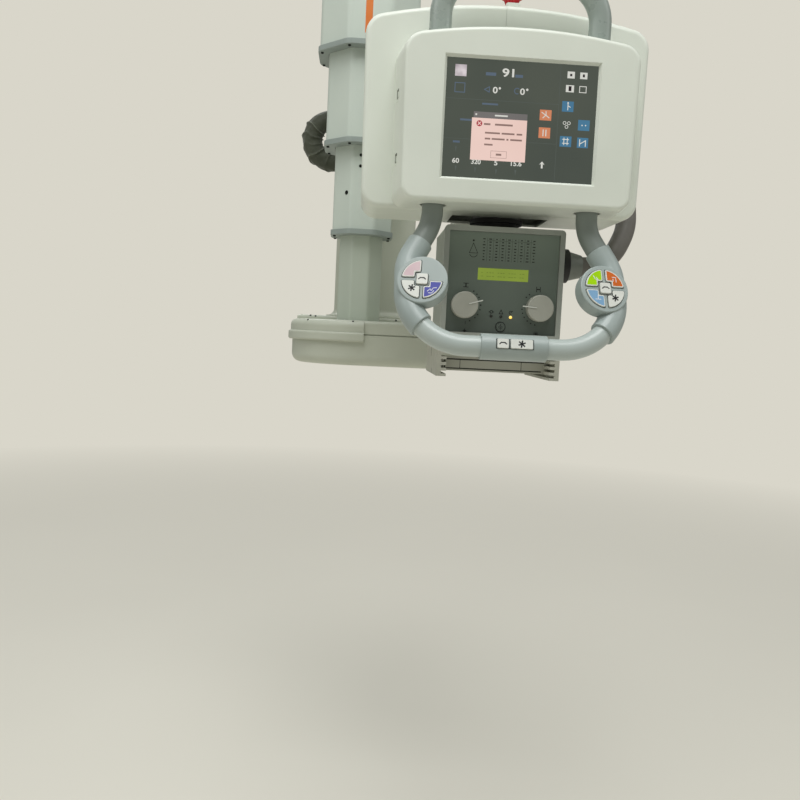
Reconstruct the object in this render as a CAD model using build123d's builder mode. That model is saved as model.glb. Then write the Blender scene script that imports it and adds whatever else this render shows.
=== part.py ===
"""Ceiling-hung x-ray tube unit: telescopic column, swivelling foot, and a tilting
head with its console, handle ring, collimator and conduit.

Millimetres, +Z up. The origin is on the column axis, in the face that meets the
ceiling. +X is to the operator's right and +Y points away from the operator.
On the foot and the head, depths are counted back from the console's face, and
heights up from the middle of the screen.
"""

import os
from math import cos, radians, sin, tan

from build123d import *

os.makedirs("parts", exist_ok=True)

# Where the screen's middle stands from the column axis and the ceiling
head_x = 249.0
face_y = -565.0
screen_z = -943.0

# Column tubes, all octagons with a flat to the front, sized across their flats. Their bends
# are rounded to a share of that size.
outer_flats = 216.0
stage_2_flats = 176.0
stage_3_flats = 132.0
inner_flats = 96.0
tube_wall = 5.0
tube_bend = 0.1
outer_length = 664.0
stage_2_length = 640.0
stage_3_length = 640.0
inner_length = 700.0
collar_height = 12.0
collar_lip = 4.0
collar_gap = 1.0
collar_chamfer = 1.5
guide_height = 30.0
guide_gap = 0.5
stage_2_foot = 56.0
stage_3_foot = -137.0
foot_flange_diameter = 150.0
foot_flange_thickness = 12.0

# Ceiling plate
plate_size = 300.0
plate_thickness = 12.0
plate_hole_pitch = 250.0
plate_hole = 12.0
plate_corner = 18.0
cable_hole = 120.0

# Tray at the column's foot
tray_radius = 148.0
tray_right = 329.0
tray_beam_back = 60.0
tray_wide_right = 160.0
tray_back = 285.0
tray_bottom = -424.0
tray_rim = -358.0
tray_wall = 6.0
tray_edge = 20.0
tray_corner = 40.0
tray_back_corner = 100.0

# Swivel bearing in the tray's hub
bearing_outer = 172.0
bearing_bore = 110.0
bearing_height = 18.0
bearing_top = -360.0
hub_wall = 10.0
hub_gap = 0.2
running_gap = 0.3

# Cover round the column's foot, and the deck beside it
cover_top = -327.0
cover_skirt = -373.0
cover_end = 14.0
cover_back = 104.0
cover_wall = 4.0
cover_gap = 0.3
cover_edge = 14.0
bead_height = 20.0
bead_proud = 5.0
bead_edge = 4.5
deck_top = -327.0
deck_inset = 1.0
deck_wall = 6.0
deck_edge = 8.0
deck_groove = 2.5
shoulder_top = -315.0
shoulder_edge = 6.0
column_hole = 110.0

# Upright behind the column
upright_left = -61.0
upright_right = 133.0
upright_front = 130.0
upright_back = 255.0
upright_top = 25.0
upright_corner = 40.0
upright_edge = 14.0
upright_wall = 4.0
flare_width = 19.0
flare_plate = 3.0
flare_radius = 17.0

# Cable loop beside the column, and its bracket on the upright
loop_diameter = 50.0
loop_left = -149.0
loop_middle = 108.0
loop_radius = 50.0
loop_y = 190.0
bracket_x = 20.0
bracket_thickness = 12.0
bracket_width = 70.0
clip_wall = 6.0
clip_length = 16.0
clip_gap = 0.3

# Tilt bearing: post on the deck, and the head's shaft
tilt_z = -50.0
shaft_diameter = 50.0
shaft_clearance = 0.05
post_front = 450.0
post_back = 530.0
post_half = 48.0
post_foot_half = 60.0
post_flange = 14.0
post_edge = 6.0
boss_length = 20.0
boss_radius = 44.0
shaft_collar = 72.0
shaft_collar_width = 12.0
shaft_flange = 110.0
shaft_flange_thickness = 10.0

# Rear cover of the head
cover_front = 105.0
cover_half = 247.0
cover_shift = -9.0
cover_apex = 219.0
cover_drop = 32.0
cover_draft = 4.0
underside = -134.0
cover_top_corner = 36.0
cover_low_corner = 30.0
cover_front_edge = 9.0
cover_rear_edge = 22.0
shell_wall = 4.0
seam_x = -16.0
seam_gap = 0.4
ridge_width = 24.0
ridge_front = 110.0
ridge_back = 192.0
ridge_top = 225.0
port_opening = 174.0
port_opening_front = 150.0
port_opening_back = 250.0
entry_left = 156.0
entry_right = 226.0
entry_low = 100.0
entry_high = 165.0
entry_proud = 58.0
entry_edge = 8.0
opening_margin = 8.0

# Console
seam_half = 203.0
seam_apex = 159.0
face_half = 191.0
face_apex = 145.0
console_drop = 20.0
seam_corner = 38.0
face_corner = 32.0
face_low_corner = 22.0
face_edge = 7.0
front_wall = 14.0
screen_width = 246.0
screen_height = 188.0
screen_bevel = 4.0
screen_depth = 6.0
screen_margin = 6.0
screen_thickness = 12.0
slide_fit = 0.3

# Handle: arch above and ring below
handle_depth = 52.0
arch_x = 133.0
arch_top = 245.0
arch_corner = 70.0
handle_diameter = 37.0
handle_wall = 3.0
clamp_height = 85.0
clamp_thickness = 34.0
clamp_width = 62.0
clamp_front = 32.0
ring_x = 131.0
ring_diameter = 34.0
neck_diameter = 36.0
ring_hole = 44.0
ring_bend_z = -165.0
ring_wide_x = 170.0
ring_knee_depth = 26.0
ring_knee_z = -235.0
bar_depth = -46.0
bar_z = -365.0
ring_shoulder_radius = 70.0
ring_corner_radius = 95.0
grip_diameter = 43.0
grip_start = 0.42
grip_end = 0.46
grip_fit = 0.1
grip_edge = 1.5
ring_wall = 4.0
sleeve_diameter = 42.0
sleeve_length = 106.0
sleeve_edge = 1.2

# Key housings on the ring
pod_x = 148.0
pod_depth = -24.0
pod_z = -263.0
pod_diameter = 82.0
pod_thickness = 30.0
pod_lean = 22.0
pod_splay = 9.0
pod_front_edge = 2.0
pod_back_edge = 8.0

# Keys
sector_radius = 33.0
sector_inset = 3.2
sector_notch = 12.4
sector_corner = 2.4
key_gap = 0.5
key_proud = 2.2
key_depth = 4.6
key_travel = 1.5
key_clearance = 0.4
key_edge = 0.6
centre_key = 18.0
centre_key_corner = 2.5
centre_key_proud = 3.4
bar_key_height = 15.0
bar_key_small = 18.0
bar_key_wide = 35.0
bar_key_between = 3.2
bar_key_tilt = 18.0
bar_key_proud = 1.0
bar_key_thickness = 2.6
bar_key_travel = 1.0
bar_keys_left = -28.5
bar_key_corner = 1.8
bar_key_gap = 0.3
bar_key_clearance = 0.2

# Tube housing and the frame that carries it
beam_depth = 198.0
housing_diameter = 108.0
housing_z = -45.0
housing_cap = 14.0
housing_cap_lip = 4.0
port_diameter = 88.0
frame_half = 200.0
frame_plate = 8.0
frame_window = 120.0
frame_back_plate = 10.0
frame_low = -110.0
frame_high = 110.0
standoff = 16.0
standoff_length = 4.0

# Collimator
collimator_width = 200.0
collimator_length = 208.0
collimator_top = -160.0
collimator_low = -352.0
collimator_wall = 4.0
collimator_corner = 10.0
bezel_width = 210.0
bezel_thickness = 14.0
bezel_side = 9.0
bezel_rim = 9.5
bezel_corner = 7.0
panel_thickness = 10.0
display_width = 88.0
display_height = 20.5
display_z = -241.0
display_thickness = 2.0
neck_flange = 96.0
neck_flange_thickness = 8.0
neck_waist = 84.0
beam_window = 150.0
beam_window_thickness = 3.0

# Knobs and lamp button on the collimator
knob_x = 65.5
knob_z = -296.0
knob_diameter = 46.0
knob_length = 18.0
knob_edge = 2.5
knob_shaft = 8.0
knob_shaft_length = 9.0
knob_clearance = 0.05
pointer_reach = 31.0
pointer_start = 7.0
pointer_width = 2.2
pointer_proud = 1.0
pointer_depth = 5.0
left_pointer_turn = 16.0
right_pointer_turn = 176.0
lamp_button_diameter = 14.0
lamp_button_z = -331.0
lamp_button_proud = 2.4
lamp_button_length = 5.0
lamp_button_travel = 1.2

# Accessory rails under the collimator
rail_outer = 108.0
rail_inner = 91.0
rail_low = -421.0
rail_front = 82.0
rail_back = 298.0
rail_groove = 5.0
rail_groove_depth = 9.0
rail_groove_pitch = 10.0
rail_groove_first = 22.0
rail_grooves = 4
crossbar_high = -386.0
crossbar_low = -412.0
crossbar_front = 128.0
crossbar_thickness = 6.0

# Conduit from the collimator's side to the rear cover
gland_depth = 222.0
gland_z = -208.0
gland_neck = 50.0
gland_bore = 30.0
nut_diameter = 64.0
nut_start = 129.0
nut_end = 145.0
cone_end = 170.0
cone_diameter = 56.0
cone_tip = 43.0
nut_edge = 2.0
hose_diameter = 38.0
hose_gap = 0.3

# Stop button on the head
stop_depth = 132.0
stop_x = -4.0
stop_collar_foot = 18.0
stop_collar_diameter = 28.0
stop_collar_height = 12.0
stop_head = 40.0
stop_head_height = 16.0
stop_stem = 12.0
stop_travel = 4.0
stop_edge = 6.0
stop_clearance = 0.05


def on_head(x, depth, height):
    """Point of the frame from a place on the head."""
    return Vector(head_x + x, face_y + depth, screen_z + height)


def front(depth):
    """Plane through the screen's middle that faces the operator, at a depth."""
    return Plane(origin=on_head(0, depth, 0), x_dir=(1, 0, 0), z_dir=(0, -1, 0))


def side(x):
    """Plane that faces right on the head, its x along the depth and its y up."""
    return Plane(origin=on_head(x, 0, 0), x_dir=(0, 1, 0), z_dir=(1, 0, 0))


def head_level(height):
    """Plane that faces up on the head, its x to the right and its y along the depth."""
    return Plane(origin=on_head(0, 0, height))


def column_level(height):
    """Plane that faces up on the column axis."""
    return Plane(origin=(0, 0, screen_z + height))


def octagon(flats, grow=0):
    """Octagon with rounded bends and one flat to the front, grown or shrunk by an amount all round."""
    with BuildSketch() as outline:
        RegularPolygon(flats / 2 + grow, 8, major_radius=False, rotation=22.5)
        fillet(outline.vertices(), flats * tube_bend + grow)
    return outline.sketch


def octagonal_tube(flats, low, high):
    """Folded and welded octagonal tube."""
    with BuildPart() as tube:
        with BuildSketch(Plane.XY.offset(low)):
            add(octagon(flats))
            add(octagon(flats, -tube_wall), mode=Mode.SUBTRACT)
        extrude(amount=high - low)
    return tube


def column_collar(flats, inner, high):
    """Ring screwed under a tube's end, a little wider than the tube."""
    with BuildPart() as collar:
        with BuildSketch(Plane.XY.offset(high - collar_height)):
            add(octagon(flats, collar_lip))
            add(octagon(inner, collar_gap), mode=Mode.SUBTRACT)
        extrude(amount=collar_height)
        rim = collar.faces().sort_by(Axis.Z)[0].outer_wire().edges()
        chamfer(rim, collar_chamfer)
    return collar


def slide_guide(flats, around, high):
    """Plastic guide ring on a tube's top, which runs in the tube around it."""
    with BuildPart() as guide:
        with BuildSketch(Plane.XY.offset(high - guide_height)):
            add(octagon(around, -tube_wall - guide_gap))
            add(octagon(flats), mode=Mode.SUBTRACT)
        extrude(amount=guide_height)
    return guide


# Ceiling plate, with a bolt hole at each corner and a hole for the cables
with BuildPart() as ceiling_plate:
    with BuildSketch(Plane.XY.offset(-plate_thickness)):
        RectangleRounded(plate_size, plate_size, plate_corner)
        Circle(cable_hole / 2, mode=Mode.SUBTRACT)
        with GridLocations(plate_hole_pitch, plate_hole_pitch, 2, 2):
            Circle(plate_hole / 2, mode=Mode.SUBTRACT)
    extrude(amount=plate_thickness)
ceiling_plate.part.label = "ceiling_plate"
export_step(ceiling_plate.part, "parts/ceiling_plate.step")

# Outer tube and its collar
outer_low = -plate_thickness - outer_length
outer_tube = octagonal_tube(outer_flats, outer_low, -plate_thickness)
outer_tube.part.label = "outer_tube"
export_step(outer_tube.part, "parts/outer_tube.step")

outer_collar = column_collar(outer_flats, stage_2_flats, outer_low)
outer_collar.part.label = "outer_collar"
export_step(outer_collar.part, "parts/outer_collar.step")

# Second tube, its collar and its guide
stage_2_low = screen_z + stage_2_foot + collar_height
stage_2_high = stage_2_low + stage_2_length
stage_2_tube = octagonal_tube(stage_2_flats, stage_2_low, stage_2_high)
stage_2_tube.part.label = "stage_2_tube"
export_step(stage_2_tube.part, "parts/stage_2_tube.step")

stage_2_collar = column_collar(stage_2_flats, stage_3_flats, stage_2_low)
stage_2_collar.part.label = "stage_2_collar"
export_step(stage_2_collar.part, "parts/stage_2_collar.step")

stage_2_guide = slide_guide(stage_2_flats, outer_flats, stage_2_high)
stage_2_guide.part.label = "stage_2_guide"
export_step(stage_2_guide.part, "parts/stage_2_guide.step")

# Third tube, its collar and its guide
stage_3_low = screen_z + stage_3_foot + collar_height
stage_3_high = stage_3_low + stage_3_length
stage_3_tube = octagonal_tube(stage_3_flats, stage_3_low, stage_3_high)
stage_3_tube.part.label = "stage_3_tube"
export_step(stage_3_tube.part, "parts/stage_3_tube.step")

stage_3_collar = column_collar(stage_3_flats, inner_flats, stage_3_low)
stage_3_collar.part.label = "stage_3_collar"
export_step(stage_3_collar.part, "parts/stage_3_collar.step")

stage_3_guide = slide_guide(stage_3_flats, stage_2_flats, stage_3_high)
stage_3_guide.part.label = "stage_3_guide"
export_step(stage_3_guide.part, "parts/stage_3_guide.step")

# Inner column, with the round flange that the swivel bearing runs on
flange_top = bearing_top - bearing_height - running_gap
inner_low = screen_z + flange_top - foot_flange_thickness
inner_high = inner_low + inner_length
with BuildPart() as inner_column:
    with BuildSketch(Plane.XY.offset(inner_low)):
        add(octagon(inner_flats))
        add(octagon(inner_flats, -tube_wall), mode=Mode.SUBTRACT)
    extrude(amount=inner_length)
    with BuildSketch(Plane.XY.offset(inner_low)):
        Circle(foot_flange_diameter / 2)
        add(octagon(inner_flats, -tube_wall), mode=Mode.SUBTRACT)
    extrude(amount=foot_flange_thickness)
inner_column.part.label = "inner_column"
export_step(inner_column.part, "parts/inner_column.step")

inner_guide = slide_guide(inner_flats, stage_3_flats, inner_high)
inner_guide.part.label = "inner_guide"
export_step(inner_guide.part, "parts/inner_guide.step")

# Swivel bearing ring, which hangs the tray on the column's flange
with BuildPart() as swivel_bearing:
    with BuildSketch(column_level(bearing_top - bearing_height)):
        Circle(bearing_outer / 2)
        Circle(bearing_bore / 2, mode=Mode.SUBTRACT)
    extrude(amount=bearing_height)
swivel_bearing.part.label = "swivel_bearing"
export_step(swivel_bearing.part, "parts/swivel_bearing.step")


def foot_outline(grow):
    """Outline of the tray seen from above: round under the column, a beam to the right."""
    with BuildSketch() as outline:
        with BuildLine():
            Polyline(
                (-tray_radius, -tray_radius), (tray_right, -tray_radius),
                (tray_right, tray_beam_back), (tray_wide_right, tray_beam_back),
                (tray_wide_right, tray_back), (-tray_radius, tray_back), close=True)
        make_face()
        corners = [
            ((-tray_radius, -tray_radius), tray_radius), ((-tray_radius, tray_back), tray_back_corner),
            ((tray_right, -tray_radius), tray_corner), ((tray_right, tray_beam_back), tray_corner),
            ((tray_wide_right, tray_beam_back), tray_corner), ((tray_wide_right, tray_back), tray_corner)]
        for corner, radius in corners:
            fillet(outline.vertices().sort_by_distance((corner[0], corner[1], 0))[0], radius)
        if grow != 0:
            offset(amount=grow)
    return outline.sketch


# Tray: cast shell, open above, with the bearing's hub and a pad under the post
hub_ledge = bearing_top - bearing_height
tray_floor = tray_bottom + tray_wall
with BuildPart() as base_tray:
    with BuildSketch(column_level(tray_bottom)):
        add(foot_outline(0))
    extrude(amount=tray_rim - tray_bottom)
    fillet(base_tray.edges().group_by(Axis.Z)[0], tray_edge)
    with BuildSketch(column_level(tray_floor)):
        add(foot_outline(-tray_wall))
    extrude(amount=tray_rim - tray_floor, mode=Mode.SUBTRACT)
    with BuildSketch(column_level(tray_floor)):
        Circle(bearing_outer / 2 + hub_gap + hub_wall)
    extrude(amount=bearing_top - tray_floor)
    with BuildSketch(column_level(tray_floor)):
        Circle(foot_flange_diameter / 2 + hub_wall / 4)
    extrude(amount=bearing_top - tray_floor, mode=Mode.SUBTRACT)
    with BuildSketch(column_level(hub_ledge)):
        Circle(bearing_outer / 2 + hub_gap)
    extrude(amount=bearing_height, mode=Mode.SUBTRACT)
    with BuildSketch(head_level(tray_floor)):
        with Locations((0, (post_front + post_back) / 2)):
            Rectangle(2 * post_half, post_back - post_front)
    extrude(amount=deck_top - deck_wall - tray_floor)
base_tray.part.label = "base_tray"
export_step(base_tray.part, "parts/base_tray.step")

# Cover over the round end, with a bead round its skirt and a hole for the column
reach = 2 * tray_right
with BuildPart() as cover_bead:
    with BuildSketch(column_level(cover_skirt)):
        add(foot_outline(cover_gap + cover_wall + bead_proud))
    extrude(amount=bead_height)
    fillet(cover_bead.edges().group_by(Axis.Z)[-1], bead_edge)
    fillet(cover_bead.edges().group_by(Axis.Z)[0], bead_edge)
with BuildPart() as cover_core:
    with BuildSketch(column_level(cover_skirt)):
        add(foot_outline(cover_gap))
    extrude(amount=cover_top - cover_wall - cover_skirt)
    fillet(cover_core.edges().group_by(Axis.Z)[-1], cover_edge - cover_wall)
    with BuildSketch(column_level(tray_rim + cover_gap)):
        with Locations((cover_end - cover_wall + reach / 2, 0)):
            Rectangle(reach, 2 * reach)
        with Locations((0, cover_back - cover_wall + reach / 2)):
            Rectangle(2 * reach, reach)
    extrude(amount=cover_top - tray_rim, mode=Mode.SUBTRACT)
with BuildPart() as base_cover:
    with BuildSketch(column_level(cover_skirt)):
        add(foot_outline(cover_gap + cover_wall))
    extrude(amount=cover_top - cover_skirt)
    fillet(base_cover.edges().group_by(Axis.Z)[-1], cover_edge)
    add(cover_bead.part)
    with BuildSketch(column_level(cover_skirt)):
        with Locations((cover_end + reach / 2, 0)):
            Rectangle(reach, 2 * reach)
        with Locations((0, cover_back + reach / 2)):
            Rectangle(2 * reach, reach)
    extrude(amount=cover_top - cover_skirt, mode=Mode.SUBTRACT)
    add(cover_core.part, mode=Mode.SUBTRACT)
    with BuildSketch(column_level(cover_top)):
        Circle(column_hole / 2)
    extrude(amount=cover_skirt - cover_top, mode=Mode.SUBTRACT)
base_cover.part.label = "base_cover"
export_step(base_cover.part, "parts/base_cover.step")

# Deck over the rest of the tray, with a raised shoulder behind the column for the upright and a
# groove round its foot
shoulder_front = cover_back + cover_gap
with BuildPart() as deck_shoulder:
    with BuildSketch(column_level(tray_rim)):
        add(foot_outline(-deck_inset))
        with Locations((0, shoulder_front - reach)):
            Rectangle(2 * reach, 2 * reach, mode=Mode.SUBTRACT)
    extrude(amount=shoulder_top - tray_rim)
    fillet(deck_shoulder.edges().group_by(Axis.Z)[-1], shoulder_edge)
with BuildPart() as base_deck:
    with BuildSketch(column_level(tray_rim)):
        add(foot_outline(-deck_inset))
    extrude(amount=deck_top - tray_rim)
    fillet(base_deck.edges().group_by(Axis.Z)[-1], deck_edge)
    add(deck_shoulder.part)
    with BuildSketch(column_level(tray_rim)):
        add(foot_outline(-deck_inset - deck_wall))
    extrude(amount=deck_top - deck_wall - tray_rim, mode=Mode.SUBTRACT)
    with BuildSketch(column_level(tray_rim)):
        add(foot_outline(-deck_inset - deck_wall))
        with Locations((0, shoulder_front + deck_wall - reach)):
            Rectangle(2 * reach, 2 * reach, mode=Mode.SUBTRACT)
    extrude(amount=shoulder_top - deck_wall - tray_rim, mode=Mode.SUBTRACT)
    with BuildSketch(column_level(tray_rim)):
        add(foot_outline(-deck_inset))
        add(foot_outline(-deck_inset - deck_groove), mode=Mode.SUBTRACT)
    extrude(amount=deck_groove, mode=Mode.SUBTRACT)
    with BuildSketch(column_level(tray_rim)):
        with Locations((cover_end + cover_gap - reach, shoulder_front - reach)):
            Rectangle(2 * reach, 2 * reach)
        Circle(column_hole / 2)
    extrude(amount=deck_top - tray_rim, mode=Mode.SUBTRACT)
base_deck.part.label = "base_deck"
export_step(base_deck.part, "parts/base_deck.step")


def upright_outline(grow):
    """Outline of the upright seen from above."""
    width = upright_right - upright_left
    depth = upright_back - upright_front
    with BuildSketch() as outline:
        with Locations(((upright_left + upright_right) / 2, (upright_front + upright_back) / 2)):
            RectangleRounded(width + 2 * grow, depth + 2 * grow, upright_corner + grow)
    return outline.sketch


# Upright behind the column: a deep shell that flares out on to the shoulder
with BuildPart() as upright_core:
    with BuildSketch(column_level(shoulder_top)):
        add(upright_outline(-upright_wall))
    extrude(amount=upright_top - upright_wall - shoulder_top)
    fillet(upright_core.edges().group_by(Axis.Z)[-1], upright_edge - upright_wall)
with BuildPart() as upright:
    with BuildSketch(column_level(shoulder_top)):
        add(upright_outline(flare_width))
    extrude(amount=flare_plate)
    with BuildSketch(column_level(shoulder_top)):
        add(upright_outline(0))
    extrude(amount=upright_top - shoulder_top)
    flare_face = upright.faces().filter_by(Axis.Z).group_by(Axis.Z)[1][0]
    fillet(flare_face.inner_wires()[0].edges(), flare_radius)
    fillet(upright.edges().group_by(Axis.Z)[-1], upright_edge)
    add(upright_core.part, mode=Mode.SUBTRACT)
upright.part.label = "upright"
export_step(upright.part, "parts/upright.step")

# Bracket on the upright, with two clips for the ends of the cable loop
loop_centre_x = loop_left + loop_diameter / 2 + loop_radius
loop_height = screen_z + loop_middle
bracket_top = loop_middle + loop_radius + loop_diameter / 2 + 2 * clip_wall
clip_bore = loop_diameter / 2 + clip_gap
loop_ends = Plane(origin=(bracket_x, 0, 0), x_dir=(0, 1, 0), z_dir=(1, 0, 0))
with BuildPart() as cable_bracket:
    with BuildSketch(column_level(upright_top)):
        with Locations((bracket_x + bracket_thickness / 2, loop_y)):
            Rectangle(bracket_thickness, bracket_width)
    extrude(amount=bracket_top - upright_top)
    with BuildSketch(loop_ends):
        with Locations((loop_y, loop_height - loop_radius), (loop_y, loop_height + loop_radius)):
            Circle(clip_bore + clip_wall)
    extrude(amount=-clip_length)
    with BuildSketch(loop_ends):
        with Locations((loop_y, loop_height - loop_radius), (loop_y, loop_height + loop_radius)):
            Circle(clip_bore)
    extrude(amount=-clip_length, mode=Mode.SUBTRACT)
cable_bracket.part.label = "cable_bracket"
export_step(cable_bracket.part, "parts/cable_bracket.step")

# Cable loop in its sleeve, clipped at both ends
with BuildPart() as cable_loop:
    with BuildLine() as loop_path:
        Line(
            (bracket_x, loop_y, loop_height - loop_radius),
            (loop_centre_x, loop_y, loop_height - loop_radius))
        ThreePointArc(
            (loop_centre_x, loop_y, loop_height - loop_radius),
            (loop_centre_x - loop_radius, loop_y, loop_height),
            (loop_centre_x, loop_y, loop_height + loop_radius))
        Line(
            (loop_centre_x, loop_y, loop_height + loop_radius),
            (bracket_x, loop_y, loop_height + loop_radius))
    with BuildSketch(Plane(origin=loop_path.line @ 0, z_dir=loop_path.line % 0)):
        Circle(loop_diameter / 2)
    sweep()
cable_loop.part.label = "cable_loop"
export_step(cable_loop.part, "parts/cable_loop.step")

# Post on the deck, with the boss that the head tilts in
with BuildPart() as tilt_post:
    with BuildSketch(front(post_front)):
        with BuildLine():
            Line((-post_foot_half, deck_top), (post_foot_half, deck_top))
            Line((post_foot_half, deck_top), (post_half, tilt_z))
            RadiusArc((post_half, tilt_z), (-post_half, tilt_z), -post_half)
            Line((-post_half, tilt_z), (-post_foot_half, deck_top))
        make_face()
    extrude(amount=post_front - post_back)
    with BuildSketch(front(post_front - boss_length)):
        with Locations((0, tilt_z)):
            Circle(boss_radius)
    extrude(amount=-boss_length)
    with BuildSketch(head_level(deck_top)):
        with Locations((0, (post_front + post_back) / 2)):
            RectangleRounded(2 * post_foot_half, post_back - post_front + 2 * post_flange, post_edge)
    extrude(amount=post_flange)
    with BuildSketch(front(post_front - boss_length)):
        with Locations((0, tilt_z)):
            Circle(shaft_diameter / 2 + shaft_clearance)
    extrude(amount=-(post_back - post_front + boss_length), mode=Mode.SUBTRACT)
tilt_post.part.label = "tilt_post"
export_step(tilt_post.part, "parts/tilt_post.step")

# Shaft that carries the head, with its flange and the collar behind the post. The frame's back
# plate stands against the housing's caps, and the rear cover on the plate's standoffs.
frame_back = beam_depth + housing_diameter / 2 + housing_cap_lip + frame_back_plate
cover_rear = frame_back + standoff_length + shell_wall
shaft_end = post_back + running_gap + shaft_collar_width
with BuildPart() as tilt_shaft:
    with BuildSketch(front(frame_back)):
        with Locations((0, tilt_z)):
            Circle(shaft_flange / 2)
    extrude(amount=-shaft_flange_thickness)
    with BuildSketch(front(frame_back)):
        with Locations((0, tilt_z)):
            Circle(shaft_diameter / 2)
    extrude(amount=frame_back - shaft_end)
    with BuildSketch(front(post_back + running_gap)):
        with Locations((0, tilt_z)):
            Circle(shaft_collar / 2)
    extrude(amount=-shaft_collar_width)
tilt_shaft.part.label = "tilt_shaft"
export_step(tilt_shaft.part, "parts/tilt_shaft.step")


def arched_outline(half, low, apex, drop, top_corner, low_corner):
    """Outline of a cover seen from the front: sides that draw in a little toward the bottom, and
    a top that rises to the middle."""
    with BuildSketch() as outline:
        with BuildLine():
            Polyline(
                (-half, apex - drop), (cover_draft - half, low), (half - cover_draft, low),
                (half, apex - drop))
            ThreePointArc((half, apex - drop), (0, apex), (-half, apex - drop))
        make_face()
        fillet(outline.vertices().group_by(Axis.Y)[0], low_corner)
        fillet(outline.vertices().group_by(Axis.Y)[-1], top_corner)
    return outline.sketch


def cover_form(inset):
    """Body of the rear cover, set in by an amount all round."""
    with BuildPart() as form:
        with BuildSketch(front(cover_front + inset)):
            with Locations((cover_shift, 0)):
                add(arched_outline(
                    cover_half - inset, underside + inset, cover_apex - inset, cover_drop,
                    cover_top_corner - inset, cover_low_corner - inset))
        extrude(amount=2 * inset + cover_front - cover_rear)
        fillet(form.edges().group_by(Axis.Y)[0], cover_front_edge - inset)
        fillet(form.edges().group_by(Axis.Y)[-1], cover_rear_edge - inset)
    return form.part


# Route of the conduit's hose, from the collimator's side to the entry on the rear cover
hose_route = [
    on_head(nut_end, gland_depth, gland_z), on_head(200, gland_depth, gland_z),
    on_head(237, 232, -178.5), on_head(264, 252, -127.5), on_head(268, 282, -62),
    on_head(254, 301, 5), on_head(214, 303, 60), on_head(195, 303, 115)]

# Rear cover before it is split: shell with its openings, the ridge and the conduit's entry
entry_x = (entry_left + entry_right) / 2
with BuildPart() as rear_cover:
    add(cover_form(0))
    with BuildSketch(head_level(cover_apex - cover_drop)):
        with Locations((seam_x + seam_gap / 2 + ridge_width / 2, (ridge_front + ridge_back) / 2)):
            RectangleRounded(ridge_width, ridge_back - ridge_front, ridge_width / 6)
    extrude(amount=ridge_top - cover_apex + cover_drop)
    with BuildSketch(head_level(entry_low)):
        with Locations((entry_x, cover_rear + (entry_proud - cover_rear_edge) / 2)):
            RectangleRounded(entry_right - entry_left, entry_proud + cover_rear_edge, entry_edge)
    extrude(amount=entry_high - entry_low)
    add(cover_form(shell_wall), mode=Mode.SUBTRACT)
    with BuildSketch(front(cover_front)):
        Rectangle(
            2 * arch_x + clamp_width + opening_margin,
            2 * (clamp_height + clamp_thickness) + opening_margin)
    extrude(amount=-2 * shell_wall, mode=Mode.SUBTRACT)
    with BuildSketch(head_level(underside)):
        with Locations((0, (port_opening_front + port_opening_back) / 2)):
            Rectangle(port_opening, port_opening_back - port_opening_front)
    extrude(amount=2 * shell_wall, mode=Mode.SUBTRACT)
    with BuildSketch(front(cover_rear)):
        with Locations((0, tilt_z)):
            Circle(shaft_flange / 2 + shell_wall)
    extrude(amount=2 * shell_wall, mode=Mode.SUBTRACT)
    with BuildSketch(Plane(origin=hose_route[-1], z_dir=hose_route[-1] - hose_route[-2])):
        Circle(hose_diameter / 2 + hose_gap)
    extrude(amount=entry_low - entry_high, mode=Mode.SUBTRACT)

with BuildPart() as rear_cover_left:
    add(rear_cover.part)
    split(bisect_by=side(seam_x - seam_gap / 2), keep=Keep.BOTTOM)
rear_cover_left.part.label = "rear_cover_left"
export_step(rear_cover_left.part, "parts/rear_cover_left.step")

with BuildPart() as rear_cover_right:
    add(rear_cover.part)
    split(bisect_by=side(seam_x + seam_gap / 2), keep=Keep.TOP)
rear_cover_right.part.label = "rear_cover_right"
export_step(rear_cover_right.part, "parts/rear_cover_right.step")


def console_form(inset, face):
    """Body of the console, set in by an amount all round and starting at a depth."""
    with BuildPart() as form:
        with BuildSketch(front(cover_front)):
            add(arched_outline(
                seam_half - inset, underside + inset, seam_apex - inset, console_drop,
                seam_corner - inset, face_low_corner - inset))
        with BuildSketch(front(face)):
            add(arched_outline(
                face_half - inset, underside + inset, face_apex - inset, console_drop,
                face_corner - inset, face_low_corner - inset))
        loft()
    return form


# Console: tapered shell with a thick face, a bevelled opening, a pocket for the screen and
# holes for the handle
with BuildPart() as console_shell:
    add(console_form(0, 0).part)
    fillet(console_shell.edges().group_by(Axis.Y)[0], face_edge)
    add(console_form(shell_wall, front_wall).part, mode=Mode.SUBTRACT)
    with BuildSketch(front(0)):
        Rectangle(screen_width + 2 * screen_bevel, screen_height + 2 * screen_bevel)
    with BuildSketch(front(screen_depth)):
        Rectangle(screen_width, screen_height)
    loft(mode=Mode.SUBTRACT)
    with BuildSketch(front(screen_depth)):
        Rectangle(
            screen_width + 2 * (screen_margin + slide_fit), screen_height + 2 * (screen_margin + slide_fit))
    extrude(amount=screen_depth - front_wall, mode=Mode.SUBTRACT)
    with BuildSketch(head_level(0)):
        with Locations((-arch_x, handle_depth), (arch_x, handle_depth)):
            Circle(handle_diameter / 2 + slide_fit)
    extrude(amount=arch_top, mode=Mode.SUBTRACT)
    with BuildSketch(head_level(0)):
        with Locations((-ring_x, handle_depth), (ring_x, handle_depth)):
            Circle(ring_hole / 2)
    extrude(amount=2 * underside, mode=Mode.SUBTRACT)
console_shell.part.label = "console_shell"
export_step(console_shell.part, "parts/console_shell.step")

# Touch screen, a flat glazed unit behind the opening
with BuildPart() as screen:
    with BuildSketch(front(screen_depth)):
        Rectangle(screen_width + 2 * screen_margin, screen_height + 2 * screen_margin)
    extrude(amount=-screen_thickness)
screen.part.label = "screen"
export_step(screen.part, "parts/screen.step")

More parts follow.
